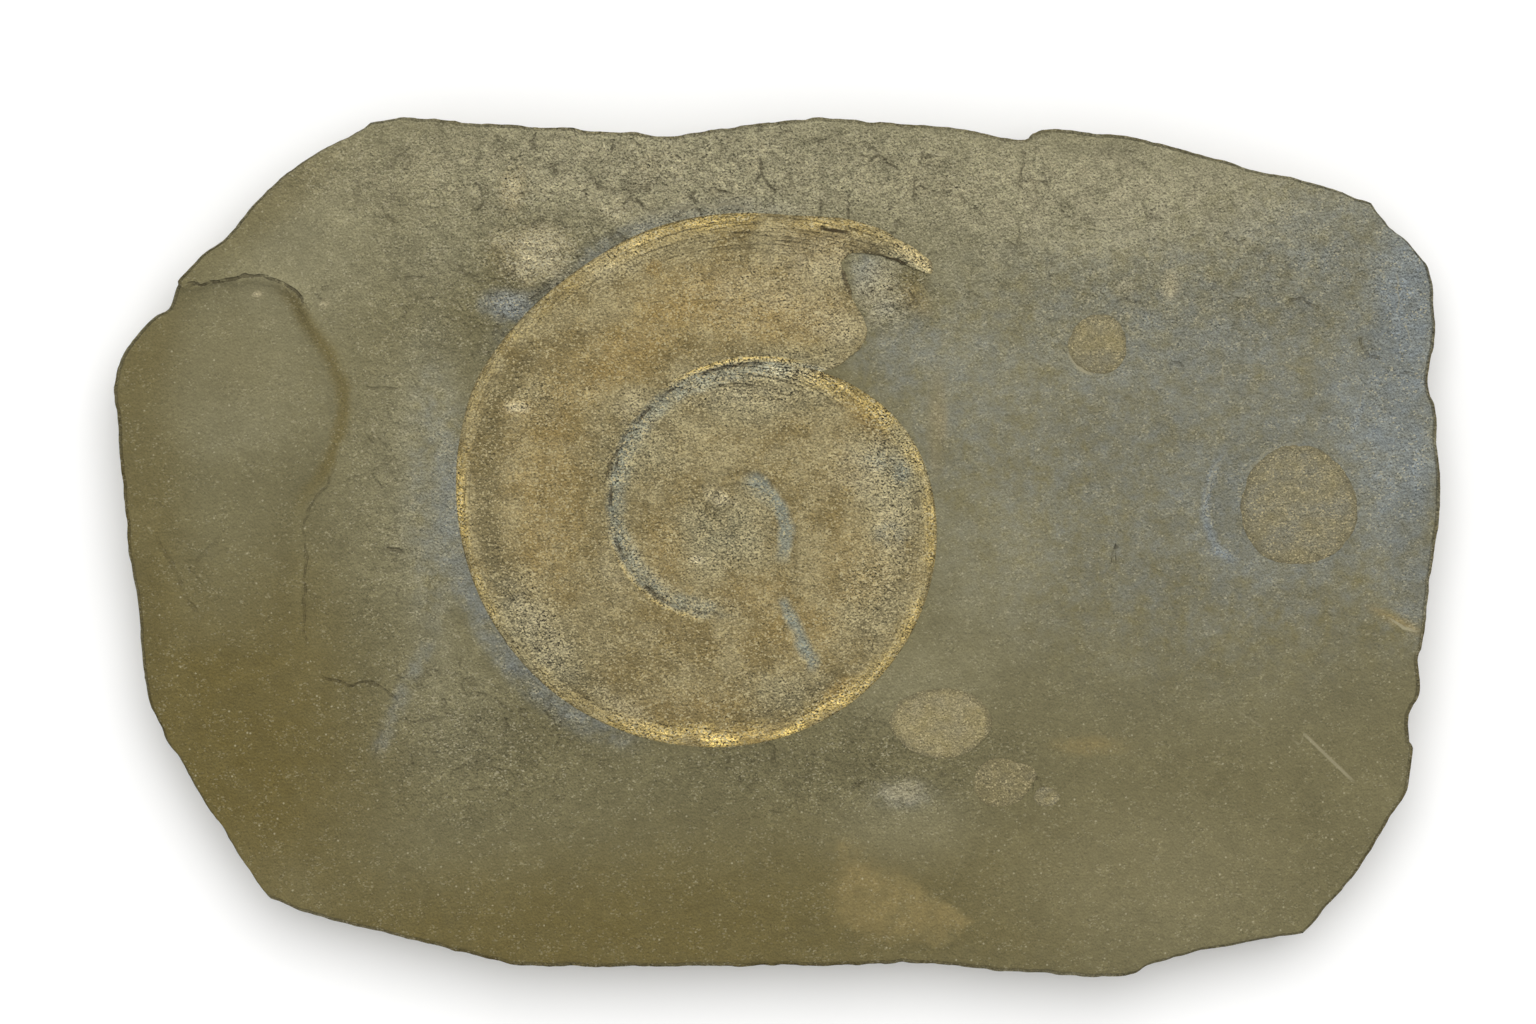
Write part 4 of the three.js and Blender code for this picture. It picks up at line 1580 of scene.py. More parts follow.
        moat = within(angle, 66, 84, 215, 250)
        z = z - self.moat_depth * moat * within(-depth, -0.4, 0.4, 0.4, 3.2)
        for shell in self.shells:
            reach = smooth(shell.depth(x, y), -2.5, -0.2)
            z = z + reach * (level - z)
        proud = raised(z, 1.3, 0.4)
        z = z - self.bed_drop * smooth(depth, 0.9, 1.9)
        for shell in self.shells:
            z = z - self.shell_bed_drop * smooth(shell.depth(x, y), 0.7, 1.4)
        chipped = 0.6 + 0.5 * noise(x, y, 5, 41, 2)
        z = z - self.worn_drop * np.clip(chipped, 0.1, 1.2) * fading(border, 0, self.wear) ** 2
        return z, proud

    def side_rings(self, outline: Array) -> list[Array]:
        """The broken sides, ring by ring from just under the face to the underside.

        Each ring stands back from the outline by the layer curve, unevenly, plus its own thin
        lamina, along the outline's smoothed normal.

        Args:
            outline: The face's border points, counter-clockwise.

        Returns:
            Points of each ring.
        """
        window = 17
        kernel = np.hanning(window + 2)[1:-1]
        wrapped = np.vstack([outline[-window:], outline, outline[:window]])
        eased = np.column_stack([
            np.convolve(wrapped[:, axis], kernel / kernel.sum(), "same")[window:-window]
            for axis in (0, 1)
        ])
        tangent = np.roll(eased, -1, axis=0) - np.roll(eased, 1, axis=0)
        tangent /= np.hypot(*tangent.T)[:, None]
        inward = np.column_stack([-tangent[:, 1], tangent[:, 0]])
        uneven = 0.7 + 0.5 * lumps(outline[:, 0], outline[:, 1], 21)
        travel = np.cumsum(np.hypot(*np.diff(outline[:, :2], axis=0, prepend=outline[-1:, :2]).T))
        rings = []
        for number, share in enumerate(self.rings_beside):
            back = np.interp(share, *np.array(LAYERS[::-1], dtype=float).T) * uneven
            lamina = 0.35 * noise(travel, np.full_like(travel, 3.7 * number), 7, 51 + number, 3)
            chips = 0.25 * np.abs(noise(travel, np.full_like(travel, share * 13), 2.4, 61, 2))
            shift = np.clip(back + (lamina + chips) * smooth(1 - share, 0.0, 0.1), 0.0, None)
            ring = outline[:, :2] + inward * shift[:, None]
            rings.append(np.column_stack([ring, share * outline[:, 2]]))
        return rings

    def skin(self) -> Skin:
        """The slab's closed skin: face grid, side rings and the underside drawn to its middle.

        Returns:
            The skin with its masks.
        """
        x, y, border = self.plan()
        x, y = self.fit(x, y)
        z, proud = self.top(x, y, border)
        face = np.column_stack([x.ravel(), y.ravel(), z.ravel()])
        grid = np.arange(z.size).reshape(z.shape)
        # the border's corners, counter-clockwise
        loop = np.concatenate([grid[0, :-1], grid[:-1, -1], grid[-1, :0:-1], grid[:0:-1, 0]])
        rings = self.side_rings(face[loop])
        base = rings[-1]
        for share in self.rings_below:
            plan = base[:, :2] * share
            lift = 0.35 * smooth(1 - share, 0.05, 0.4) * np.clip(noise(*plan.T, 14, 81, 4), 0, 1)
            rings.append(np.column_stack([plan, lift]))
        faces, upper, count = [grid_quads(grid)], loop, len(face)
        for ring in rings:
            lower = count + np.arange(len(ring))
            faces.append(np.stack([lower, np.roll(lower, -1), np.roll(upper, -1), upper], -1))
            upper, count = lower, count + len(ring)
        underside_middle = [[0.0, 0.0, self.hollow]]
        points = np.vstack([face, *rings, underside_middle])
        middle = np.full(len(loop), count)
        faces.append(np.stack([upper, middle, np.roll(upper, -1)], -1))
        masks = self.masks(points, len(face), border)
        # the mask of the painted light and shade, from how proud each place of the face stands
        masks[Mask.RELIEF_LIGHT_AND_SHADE] = np.r_[proud.ravel(), np.full(len(points) - len(face), 0.5)]
        return Skin("slab_of_shale", points, faces, masks)

    def masks(self, points: Array, face_count: int, border: Array) -> dict[Mask, Array]:
        """Where the shale is grey, brown, blue, stained, flaked, cracked or a broken side, with painted
        shade along the bench's step and a painted cool sheen where it is blue.

        Args:
            points: All corners of the slab.
            face_count: How many of them, the first ones, are the face's.
            border: The face's way to the nearest edge.

        Returns:
            One value a corner for each mask.
        """
        x, y = points[:, 0], points[:, 1]
        depth, bench = ammonite_depth(x, y), self.bench(x, y)
        angle, _ = coil_polar(x, y)
        # painted cool sheen: blue-grey beside the ammonite's left and at its top
        sheen_at_left = within(angle, 150, 175, 232, 255) * fading(-depth, 1, 4.5)
        moat = within(angle, 72, 88, 128, 150) * fading(-depth, 0.6, 3.4)
        blue = 1 - (1 - total(BLUE_SHEEN_PATCHES, x, y)) * (1 - 0.42 * sheen_at_left) * (1 - 0.32 * moat)
        for stroke in BLUE_STROKES:
            streak = along_line(stroke.points, x, y, 0.2, stroke.reach, 4)
            blue = np.maximum(blue, stroke.strength * streak)
        # painted shade: a brown band along the bench's step, where the step's face lies in shade
        band = fading(np.abs(bench - 1.2), 0.3, 1.7) * smooth(y, 2, 14) * smooth(x, -77, -72)
        brown = 1 - (1 - total(BROWN_PATCHES, x, y)) * (1 - 0.7 * band)
        side = np.ones(len(points))
        side[:face_count] = fading(border, 0, 0.4).ravel()
        crack_and_shadow_side, crack_and_shadow_near = marks(CRACKS, x, y)
        scratch_side, scratch_near = marks(SCRATCHES, x, y)
        on_face = np.arange(len(points)) < face_count
        soft = 0.5 + 2.5 * fading(x, 17, 25)
        tan = 0.5 * smooth(self.flake(x, y) / soft, -0.6, 1.2) * (1 - 0.6 * smooth(-y, 54, 61))
        flaked = total(FLAKED_PATCHES, x, y) * (1 - 0.8 * smooth(bench, -1, 1))
        return {
            Mask.GREY: total(GREY_PATCHES, x, y) * on_face,
            Mask.BROWN_AND_SHADE: brown,
            Mask.BLUE_TINT_AND_SHEEN: blue * on_face,
            Mask.GOLD: np.maximum(total(GOLD_PATCHES, x, y), tan) * on_face,
            Mask.ROUGH: np.maximum(flaked, side),
            Mask.PALE: total(PALE_PATCHES, x, y) * on_face,
            Mask.SIDE: side,
            Mask.CRACK_AND_SHADOW_SIDE: crack_and_shadow_side,
            Mask.CRACK_AND_SHADOW_NEAR: crack_and_shadow_near * on_face,
            Mask.SCRATCH_SIDE: scratch_side,
            Mask.SCRATCH_NEAR: scratch_near * on_face,
        }

    def build(self, material: bpy.types.Material) -> bpy.types.Object:
        """Builds and dresses the slab.

        Args:
            material: The shale's finish.

        Returns:
            The slab's object.
        """
        return self.skin().build(material, "shale_slab", "shale")


@dataclass
class CoilGrid:
    """The ammonite's places and coil measures, each an array of columns by levels."""

    angle: Array
    across: Array
    x: Array
    y: Array
    z: Array
    along: Array
    to_rim: Array
    to_seam: Array

    @property
    def outer_turn(self) -> Array:
        """Which part is the outer turn.

        Returns:
            A mask, one on the outer turn and nought on those inside it.
        """
        return fading(self.angle, INNER_START - 16, INNER_START)


@dataclass
class Ammonite:
    """The coiled shell: one strip of whorls whose inner seam is the next turn's rim."""

    columns_per_turn: int = 540
    columns: int = 1240
    levels: int = 58
    core_offset: float = 0.8
    grey_patches: tuple[Patch, ...] = (
        Patch(-8.4, 2.2, 8, 6.5, 0.6), Patch(-2, 24, 16, 6, 0.45, 10), Patch(17.5, 12, 6, 11, 0.6),
        Patch(14, -6, 6, 9, 0.5, -20), Patch(-36, 22, 4, 4, 0.4), Patch(-21, 14, 8, 6, 0.35),
        Patch(-36, -14, 6, 14, 0.5, 30), Patch(2, -22, 10, 4, 0.3), Patch(21, 42, 7, 2.6, 0.7, -33),
    )
    gold_patches: tuple[Patch, ...] = (
        Patch(-18.5, 42, 1.6, 1.4, 0.7), Patch(-39, 21, 2.8, 1.2, 0.8), Patch(4, 35, 8, 5, 0.3),
        Patch(12, -3, 6, 8, 0.3, -10), Patch(-17, -1, 4, 5, 0.3), Patch(-3, -7, 6, 3, 0.3),
        Patch(-34, 8, 7, 18, 0.35), Patch(4, -12, 7, 4, 0.3), Patch(7, 45, 7, 2.6, 0.4, -12),
        Patch(-14, -25, 12, 4, 0.3), Patch(13, 20, 6, 2.2, 0.55, -45), Patch(-10, 38, 14, 5, 0.4),
        Patch(-22, 30, 13, 4.5, 0.5, 38), Patch(9.4, -21.7, 4, 1.8, 0.7, 40),
        Patch(-4, 34.5, 12, 4, 0.45, -5), Patch(-4, -28.4, 9, 2, 0.6, 2),
    )
    dusk_patches: tuple[Patch, ...] = (
        Patch(-28, 6, 8, 20, 0.45), Patch(-20, -20, 22, 10, 0.3, -30), Patch(18, 42, 7, 3, 0.55, -28),
    )
    pale_patches: tuple[Patch, ...] = (
        Patch(-8.9, 7.7, 2.6, 1.4, 0.7, -25), Patch(-12, -1.9, 1.2, 0.7, 0.9),
        Patch(13, 11.6, 6, 5, 0.4), Patch(-7, 24, 10, 3, 0.3), Patch(-21.5, 21, 3, 3, 0.4),
        Patch(-39, 21, 2.4, 1, 0.9), Patch(0, 38, 14, 6, 0.3), Patch(-36, -12, 3, 9, 0.35, 35),
        Patch(-22, -25, 7, 2, 0.4, -35), Patch(16, 37, 3, 5, 0.5), Patch(-24, -2, 3, 6, 0.25),
        Patch(17.5, 3, 3, 6, 0.35), Patch(2, 26.6, 9, 1.2, 0.7, -5),
        Patch(21, 43.5, 6, 1.2, 0.6, -33), Patch(6, 44, 8, 4, 0.4, -12), Patch(9, 33, 5, 3, 0.4),
        Patch(-24, 43, 7, 3, 0.35, 25),
    )
    blue_patches: tuple[Patch, ...] = (
        Patch(18.6, 11.2, 1.6, 1.8, 0.6), Patch(15.5, 13, 2.4, 1.4, 0.35), Patch(16.5, 2, 3, 2, 0.3),
    )
    core_arc: Stroke = Stroke(
        ((-6, 10.4), (-2.8, 9.8), (-0.4, 8), (1, 4.6), (1.3, 1), (0.8, -2.8)), 0.85)
    scar: Stroke = Stroke(((0.4, -7), (2.4, -11.4), (5.2, -16.6), (5.6, -19)), 0.9)
    cracks: tuple[Stroke, ...] = (
        Stroke(((6, 47.9), (9, 47.4), (11.4, 46.9)), 0.9, 0.35, 1.2),
        Stroke(((14.4, 43.9), (17.4, 43.2), (20, 42.4)), 0.8, 0.4, 1),
        Stroke(((10.6, 44.4), (10.2, 40.6), (10.9, 37.4)), 0.6, 0.5, 1.5),
        Stroke(((-20.6, 19.6), (-23.4, 16), (-25.6, 11.6), (-26.2, 8)), 0.4, 0.25, 4),
    )

    def grid(self) -> CoilGrid:
        """Places, heights and coil measures, columns by levels.

        The angle grows inwards along the coil and bends to the broken mouth over the first 22
        degrees. The radius runs from the next turn's radius, at the seam, to this turn's.

        Returns:
            The grid.
        """
        t = np.linspace(0, 1, self.levels + 1)
        across = (0.5 * t + 0.5 * (0.5 - 0.5 * np.cos(math.pi * t)))[None, :]
        nominal = LIP_ANGLE + np.arange(self.columns + 1)[:, None] * 360 / self.columns_per_turn
        near_lip = fading(nominal, LIP_ANGLE, LIP_ANGLE + 22)
        chipped = 0.7 * noise(across * 24, 0 * across, 1.7, 141, 3)
        angle = nominal + near_lip * (through(LIP, across) - LIP_ANGLE + chipped)
        outer, inner = through(COIL, angle), through(COIL, angle + 360)
        across = np.broadcast_to(across, angle.shape)
        radius = inner + (outer - inner) * across
        x = COIL_CENTRE[0] + radius * np.cos(np.radians(angle))
        y = COIL_CENTRE[1] + radius * np.sin(np.radians(angle))
        z = self.height(x, y, angle, across, near_lip)
        along = np.radians(angle - LIP_ANGLE) * 0.8 * outer
        width = outer - inner
        return CoilGrid(angle, across, x, y, z, along, (1 - across) * width, across * width)

    def height(self, x: Array, y: Array, angle: Array, across: Array, near_lip: Array) -> Array:
        """Height of the shell's face: whorl section, worn mouth, faint ribs, lumps and the scar.

        Args:
            x: Places along X.
            y: Places along Y.
            angle: Angle along the coil.
            across: Share of the way from seam to rim.
            near_lip: One at the broken mouth, nought well inside.

        Returns:
            Height above the underside.
        """
        beak = smooth(across, 0.84, 0.9)
        ending = 1 + near_lip ** 3 * (np.maximum(0.12, 0.4 * beak) - 1)
        ragged = near_lip * beak * (0.18 * noise(x, y, 2.2, 131, 3))
        section = through(SECTION, across)
        section = section + (through(SEAM, angle) - SECTION[0][1]) * fading(across, 0, 0.09)
        outer = angle - 360
        meeting = through(SEAM, outer) * through(FADE, outer) / through(FADE, angle)
        shoulder = 0.75 + (meeting - 0.75) * smooth(across, 0.86, 1.0)
        shoulder = shoulder * smooth(across, 0.6, 0.85) + section * fading(across, 0.6, 0.85)
        inner = smooth(angle, INNER_START, INNER_START + 12)
        section = section * (1 - inner) + shoulder * inner
        crown = CROWN * through(FADE, angle) * section * ending
        outside = fading(angle, INNER_START - 12, INNER_START + 4) * smooth(across, 0.8, 0.97)
        outside = np.maximum(outside, near_lip ** 3)
        ground = outside * (face_height(x, y) - FACE)
        inner_only = within(across, 0.02, 0.12, 0.94, 1.0)
        ribs = 0.035 * np.sin(np.radians(angle) * 26 + 2.5 * across) * smooth(across, 0.5, 0.85)
        worn = 0.1 * lumps(x, y, 8) + 0.14 * noise(x, y, 5, 91, 3) + 0.08 * noise(x, y, 1.5, 97, 2)
        striae = 0.07 * noise(np.radians(angle) * 6, across * 60, 2.2, 101, 2) * smooth(across, 0.8, 0.9)
        scar = -0.25 * along_line(self.scar.points, x, y, 0.3, 1.6, 2)
        worn = worn * (1 - outside)
        return FACE + ground + crown + ragged + inner_only * (ribs + striae + scar) + worn

    def skin(self) -> Skin:
        """The ammonite's closed skin: whorl strip, core fan, low wall and flat bed.

        Returns:
            The skin with its masks, one value a face corner so that a seam keeps both sides.
        """
        grid = self.grid()
        rows, last = self.columns + 1, self.levels
        turn = self.columns_per_turn
        number = np.arange(rows * (last + 1)).reshape(rows, last + 1)
        shared = number.copy()
        shared[turn:, last] = shared[: rows - turn, 0]
        points = np.column_stack([grid.x.ravel(), grid.y.ravel(), grid.z.ravel()])
        plain = grid_quads(number)
        welded = shared.ravel()
        strip = welded[plain]

        end_angle = math.radians(LIP_ANGLE + self.columns * 360 / turn + 90)
        middle = [COIL_CENTRE[0] + self.core_offset * math.cos(end_angle),
                  COIL_CENTRE[1] + self.core_offset * math.sin(end_angle), FACE + 0.3 * CROWN]
        inner = np.concatenate([number[rows - 1 - turn:, 0], number[-1, 1:]])
        rim = np.concatenate([number[:turn, last], number[0, :last]])
        count = len(points)
        low = points[welded[rim]].copy()
        low[:, 2] = FACE - BED + GAP
        points = np.vstack([points, [middle], low])
        low_loop = count + 1 + np.arange(len(rim))
        fan_plain = np.stack([np.full(len(inner) - 1, count), inner[:-1], inner[1:]], -1)
        fan = np.where(fan_plain < count, welded[np.minimum(fan_plain, count - 1)], fan_plain)
        wall = np.stack([low_loop, np.roll(low_loop, -1), np.roll(welded[rim], -1), welded[rim]], -1)
        wall_plain = np.stack([rim, np.roll(rim, -1), np.roll(rim, -1), rim], -1)
        floor, floor_plain = low_loop[::-1][None, :], rim[::-1][None, :]

        faces = [strip, fan, wall, floor]
        plain_faces = [plain, np.minimum(fan_plain, count - 1), wall_plain, floor_plain]
        used, renumber = np.unique(np.concatenate([f.ravel() for f in faces]), return_inverse=True)
        starts = np.cumsum([0] + [f.size for f in faces])
        faces = [renumber[a:b].reshape(f.shape) for a, b, f in zip(starts, starts[1:], faces)]
        corner = np.concatenate([f.ravel() for f in plain_faces])
        masks = {mask: values.ravel()[corner] for mask, values in self.masks(grid).items()}
        uv = np.column_stack([grid.along.ravel()[corner], grid.to_seam.ravel()[corner]])
        return Skin("coiled_ammonite", points[used], faces, corner_masks=masks, corner_uv=uv)

    def masks(self, grid: CoilGrid) -> dict[Mask, Array]:
        """Where the shell is golden, grey, blue in its seams, lined or cracked.

        Args:
            grid: The ammonite's grid.

        Returns:
            One value a grid corner for each mask.
        """
        return self.rim_masks(grid) | self.seam_masks(grid) | self.tint_masks(grid)

    def rim_masks(self, grid: CoilGrid) -> dict[Mask, Array]:
        """The golden rims, the bright thread along the seam, and the painted light and shade of what
        stands proud.

        The rim is brightest along the bottom of the outer turn, where a painted highlight lies on it,
        and the thread runs beside the seam near the mouth and, fainter, at the left, with a faint
        painted highlight.

        Args:
            grid: The ammonite's grid.

        Returns:
            The masks of the rim and of the painted light and shade, with its highlights.
        """
        angle, to_rim, outer_turn = grid.angle, grid.to_rim, grid.outer_turn
        patchy = np.clip(0.72 + 0.8 * noise(angle, 2.5 * to_rim, 9, 111, 3), 0.1, 1)
        reach = through(RIM_WIDTH, angle)
        bold = outer_turn * through(RIM_TONE, angle) * patchy
        rim = bold * fading(to_rim, 0.35 * reach, 1.3 * reach)
        inner_rim = (1 - outer_turn) * fading(angle, INNER_START, INNER_START + 28)
        inner_rim = 0.8 * inner_rim * fading(to_rim, 1, 4)
        by_mouth, at_left = within(angle, 60, 72, 98, 116), within(angle, 185, 205, 245, 262)
        thread = fading(np.abs(grid.to_seam - 0.45), 0.15, 0.5) * (by_mouth + 0.45 * at_left)
        # painted highlight along the bottom of the outer turn's rim
        painted_rim_highlight = within(angle, 252, 268, 290, 308) * rim * (0.6 - 0.4 * smooth(to_rim, 1, 2.5))
        return {
            # painted light and shade: paler where proud, darker in hollows, plus the painted highlights
            # of the rim's bottom and of the thread
            Mask.RELIEF_LIGHT_AND_SHADE: raised(grid.z, 2.2, 0.35) + painted_rim_highlight + 0.2 * thread,
            Mask.RIM: np.maximum(np.maximum(rim, inner_rim), thread),
        }

    def seam_masks(self, grid: CoilGrid) -> dict[Mask, Array]:
        """The grooves, blue-grey with a painted cool sheen, the thin painted shadow under the inner rim,
        and the hairline cracks.

        Args:
            grid: The ammonite's grid.

        Returns:
            The masks of the grooves, and of the cracks with the painted shadow.
        """
        angle, to_rim = grid.angle, grid.to_rim
        # the grooves' blue-grey is a painted cool sheen on their slopes
        seam = fading(grid.to_seam, 0.2, 0.8) * fading(angle, 250, 290)
        below = (1 - grid.outer_turn) * fading(to_rim, 1.0, 3.6)
        below = below * within(angle, INNER_START, INNER_START + 18, 600, 650)
        taper = 0.5 + 1.5 * smooth(angle, 700, 760)
        curl = fading(to_rim, 0.3 * taper, 1.3 * taper) * within(angle, 688, 710, 770, 800)
        # painted shadow: a thin dark line under the inner turn's rim, drawn with the cracks
        shadow = fading(np.abs(to_rim - 0.3), 0.08, 0.34) * within(angle, 404, 424, 606, 640)
        shadow = shadow * np.clip(0.36 + 0.9 * noise(angle, 0 * angle, 8, 151, 3), 0.05, 0.62)
        crack_and_shadow_side, crack_and_shadow_near = marks(self.cracks, grid.x, grid.y)
        return {
            Mask.GROOVE: np.clip(0.35 * seam + 0.6 * below + 0.35 * curl, 0, 0.9),
            Mask.CRACK_AND_SHADOW_SIDE: np.where(shadow > crack_and_shadow_near, 0.0, crack_and_shadow_side),
            Mask.CRACK_AND_SHADOW_NEAR: np.maximum(crack_and_shadow_near, shadow),
        }

    def tint_masks(self, grid: CoilGrid) -> dict[Mask, Array]:
        """Greyer, golden, paler, darker and bare blue places, and where fine lines show.

        The scar and the arc round the core are bare and blue. Fine lines follow the coil near the
        rims, and the outer turn has a darker trough beside its rim.

        Args:
            grid: The ammonite's grid.

        Returns:
            The masks of the tints and of the lined places.
        """
        x, y, angle, across = grid.x, grid.y, grid.angle, grid.across
        to_rim, outer_turn = grid.to_rim, grid.outer_turn
        bent = 0.7 * noise(x, y, 3, 121, 2)
        widening = 1.1 + 0.9 * smooth(-y, 8, 18)
        scar = along_line(self.scar.points, x + bent, y, 0.1, widening, 2)
        arc = along_line(self.core_arc.points, x + 0.4 * bent, y + 0.4 * bent, 0.4, 1.5, 3)
        bare = np.maximum(self.scar.strength * scar, self.core_arc.strength * arc)
        by_mouth = 0.55 * outer_turn * fading(to_rim, 4, 7) * fading(angle, 95, 125)
        by_rim = 0.3 * outer_turn * fading(to_rim, 2, 3.6)
        within_coil = 0.6 * (1 - outer_turn) * fading(angle, 440, 470) * fading(to_rim, 3, 6)
        mouth = 0.5 * fading(angle, 50, 74) * within(across, 0.45, 0.6, 0.8, 0.9)
        trough = 0.6 * outer_turn * within(across, 0.66, 0.78, 0.84, 0.93)
        trough = trough * within(angle, 125, 150, 290, 330)
        return {
            Mask.GREY: np.maximum(total(self.grey_patches, x, y), mouth),
            Mask.GOLD: total(self.gold_patches, x, y),
            Mask.PALE: total(self.pale_patches, x, y),
            Mask.BROWN_AND_SHADE: np.maximum(total(self.dusk_patches, x, y), trough),
            Mask.BLUE_TINT_AND_SHEEN: np.maximum(bare, total(self.blue_patches, x, y)),
            Mask.ROUGH: np.maximum(np.maximum(by_mouth, by_rim), within_coil),
        }

    def build(self, material: bpy.types.Material) -> bpy.types.Object:
        """Builds and dresses the ammonite.

        Args:
            material: The ammonite's finish.

        Returns:
            The ammonite's object.
        """
        return self.skin().build(material, "ammonite", "ammonite_shell")


@dataclass
class SmallShell:
    """One small shell: a low speckled dome with an uneven outline in a shallow bed.

    It lies at x and y with half-sizes a and b. Corner is how far its one pointed side stands out,
    and turn is where that side is, in degrees. Warm, pale and dim are shares of its tints.
    """

    name: str
    x: float
    y: float
    a: float
    b: float
    rise: float
    corner: float = 0.0
    turn: float = 0.0
    warm: float = 0.5
    pale: float = 0.0
    dim: float = 0.0
    wall: float = 0.5
    rings: int = 34
    sides: int = 150

    def uneven(self, angle: Array) -> Array:
        """How far the outline stands out of its oval.

        Args:
            angle: Angles about the middle, in radians.

        Returns:
            A factor about one: a slow wave, and a peak towards the shell's corner.
        """
        to_corner = np.maximum(np.cos(angle - math.radians(self.turn)), 0)
        return 1 + 0.03 * np.sin(3 * angle + self.x) + self.corner * to_corner ** 12

    def depth(self, x: Array, y: Array) -> Array:
        """How far a place is inside the outline, in millimetres, negative outside.

        Args:
            x: Places along X.
            y: Places along Y.

        Returns:
            The depth: one minus the oval distance, times the smaller half-size.
        """
        u, v = (x - self.x) / self.a, (y - self.y) / self.b
        return (1 - np.hypot(u, v) / self.uneven(np.arctan2(v, u))) * min(self.a, self.b)

    def skin(self) -> Skin:
        """The shell's closed skin: dome rings from the middle to the edge, then a low wall.

        The dome's height is the rise times one minus the share to the fourth, on the shale's own
        height, with fine growth lines and lumps.

        Returns:
            The skin with its masks.
        """
        angle = np.linspace(0, 2 * math.pi, self.sides, endpoint=False)[None, :]
        share = (np.arange(1, self.rings + 1) / self.rings)[:, None]
        ragged = 1 + 0.012 * noise(np.cos(angle) * 9, np.sin(angle) * 9, 2.5, 7, 3) * share
        reach = share * self.uneven(angle) * ragged
        x = self.x + self.a * reach * np.cos(angle)
        y = self.y + self.b * reach * np.sin(angle)
        ground = face_height(x, y)
        dome = self.rise * (1 - 0.95 * share ** 4)
        rings = 0.02 * np.sin(share * self.a * 5.5) * share
        z = ground + dome + rings + 0.05 * noise(x, y, 2.2, 23, 3) + 0.03 * noise(x, y, 0.8, 29)
        low = np.column_stack([x[-1], y[-1], ground[-1] - self.wall])
        points = np.vstack([np.column_stack([x.ravel(), y.ravel(), z.ravel()]), low,
                            [[self.x, self.y, z[0].mean()]]])
        grid = np.arange(self.rings * self.sides + self.sides).reshape(self.rings + 1, self.sides)
        upper, lower = grid[:-1], grid[1:]
        quads = np.stack([lower, np.roll(lower, -1, 1), np.roll(upper, -1, 1), upper], -1)
        middle = np.full(self.sides, len(points) - 1)
        fan = np.stack([middle, grid[0], np.roll(grid[0], -1)], -1)
        floor = grid[-1][::-1][None, :]
        edge = np.broadcast_to(smooth(share, 0.82, 1.0), x.shape).ravel()
        edge = np.r_[edge, np.ones(self.sides), 0.0]
        masks = {
            Mask.RIM: np.maximum(0.7 * edge, self.dim),
            Mask.GOLD: np.full(len(points), self.warm),
            Mask.PALE: self.pale * (1 - edge),
        }
        name = self.name.replace("shell", "shell_film")
        return Skin(name, points, [quads.reshape(-1, 4), fan, floor], masks)

    def build(self, material: bpy.types.Material) -> bpy.types.Object:
        """Builds and dresses the shell.

        Args:
            material: The small shells' finish.

        Returns:
            The shell's object.
        """
        return self.skin().build(material, self.name, "small_shell")


def small_shells() -> list[SmallShell]:
    """The five small shells, as they lie on the face.

    Returns:
        The shells, each with its place, half-sizes, rise and tint.
    """
    return [
        SmallShell("round_shell_upper", 48.1, 30.5, 4.4, 4.5, 0.5, warm=0.5, pale=0.05),
        SmallShell("round_shell_right", 78.2, 6.2, 8.7, 9.0, 0.7, 0.03, 150, warm=0.3,
                   rings=56, sides=200),
        SmallShell("oval_shell_lower", 24.4, -26.3, 7.4, 5.3, 0.5, 0.08, -5, warm=0.85, pale=0.25,
                   rings=50, sides=180),
        SmallShell("small_shell_lower", 33.5, -35.3, 4.2, 3.7, 0.4, 0.35, 22, warm=0.9, dim=0.55),
        SmallShell("tiny_shell_lower", 40.3, -37.4, 1.9, 1.5, 0.35, 0.1, 10, warm=0.5,
                   rings=16, sides=80),
    ]


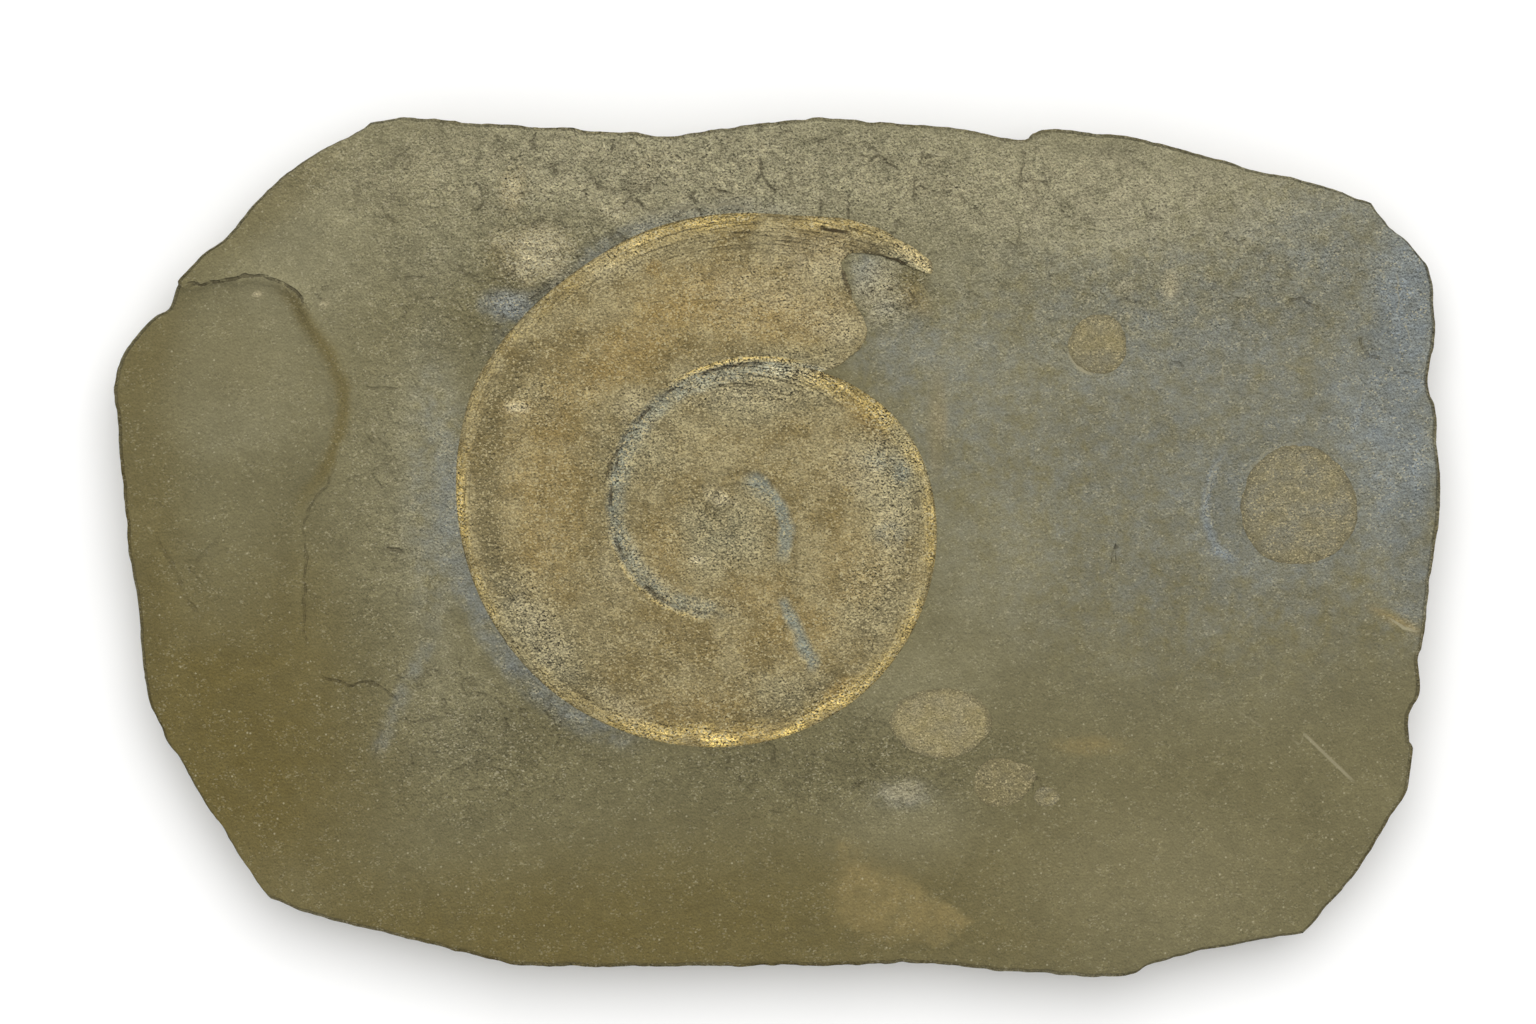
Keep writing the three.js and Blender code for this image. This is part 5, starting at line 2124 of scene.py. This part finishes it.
@dataclass
class Studio:
    """Pale floor, soft light from above and beyond, and the camera straight over the slab."""

    view_width: float = 0.2304
    distance: float = 1.2
    sensor: float = 36.0
    clip: tuple[float, float] = (0.01, 20)
    look_at: tuple[float, float, float] = (-0.001425, 0.005325, 0.013)
    key_power: float = 7.2
    key_size: float = 1.0
    key_place: tuple[float, float, float] = (0.08, 0.42, 1.1)
    fill: float = 0.84
    floor_half: float = 2.0
    floor_colour: tuple[float, float, float, float] = (0.96, 0.96, 0.955, 1.0)
    floor_roughness: float = 0.95
    floor_specular: float = 0.1

    def floor(self) -> None:
        """A wide pale floor under the slab."""
        half = self.floor_half
        mesh = bpy.data.meshes.new("studio_floor")
        corners = [(-half, -half, 0), (half, -half, 0), (half, half, 0), (-half, half, 0)]
        mesh.from_pydata(corners, [], [(0, 1, 2, 3)])
        material = bpy.data.materials.new("pale_floor")
        material.use_nodes = True
        shader = material.node_tree.nodes["Principled BSDF"]
        shader.inputs["Base Color"].default_value = self.floor_colour
        shader.inputs["Roughness"].default_value = self.floor_roughness
        shader.inputs["Specular IOR Level"].default_value = self.floor_specular
        mesh.materials.append(material)
        floor = bpy.data.objects.new("studio_floor", mesh)
        bpy.context.scene.collection.objects.link(floor)

    def light(self) -> None:
        """An even pale world and one large soft lamp beyond the slab's upper edge."""
        world = bpy.data.worlds.new("studio")
        world.use_nodes = True
        world.node_tree.nodes["Background"].inputs[0].default_value = (1, 1, 1, 1)
        world.node_tree.nodes["Background"].inputs[1].default_value = self.fill
        bpy.context.scene.world = world
        lamp = bpy.data.lights.new("window", "AREA")
        lamp.energy, lamp.size = self.key_power, self.key_size
        key = bpy.data.objects.new("window", lamp)
        key.location = self.key_place
        key.rotation_euler = (-key.location).to_track_quat("-Z", "Y").to_euler()
        bpy.context.scene.collection.objects.link(key)

    def camera(self) -> None:
        """A long lens looking straight down on the fossil face, framed as in the photograph."""
        lens = bpy.data.cameras.new("camera")
        lens.sensor_width = self.sensor
        lens.lens = self.sensor * self.distance / self.view_width
        lens.clip_start, lens.clip_end = self.clip
        camera = bpy.data.objects.new("camera", lens)
        camera.location = (self.look_at[0], self.look_at[1], self.look_at[2] + self.distance)
        bpy.context.scene.collection.objects.link(camera)
        bpy.context.scene.camera = camera

    def build(self) -> None:
        """Sets the floor, the light, the camera and plain colour handling."""
        self.floor()
        self.light()
        self.camera()
        bpy.context.scene.view_settings.view_transform = "Standard"


def main() -> None:
    """Builds the studio and every piece in order."""
    logging.basicConfig(level=logging.INFO, format="%(message)s")
    Studio().build()
    groups = Groups(grain_group(), line_group(), edge_group())
    shells = small_shells()
    shell_material = ShellFinish().material(groups)
    pieces = [
        ShaleSlab(shells).build(ShaleFinish().material(groups)),
        Ammonite().build(AmmoniteFinish().material(groups)),
        *(shell.build(shell_material) for shell in shells),
    ]
    for piece in pieces:
        triangles = sum(len(face.vertices) - 2 for face in piece.data.polygons)
        LOG.info("%s: %d triangles", piece.name, triangles)


if __name__ == "__main__":
    main()
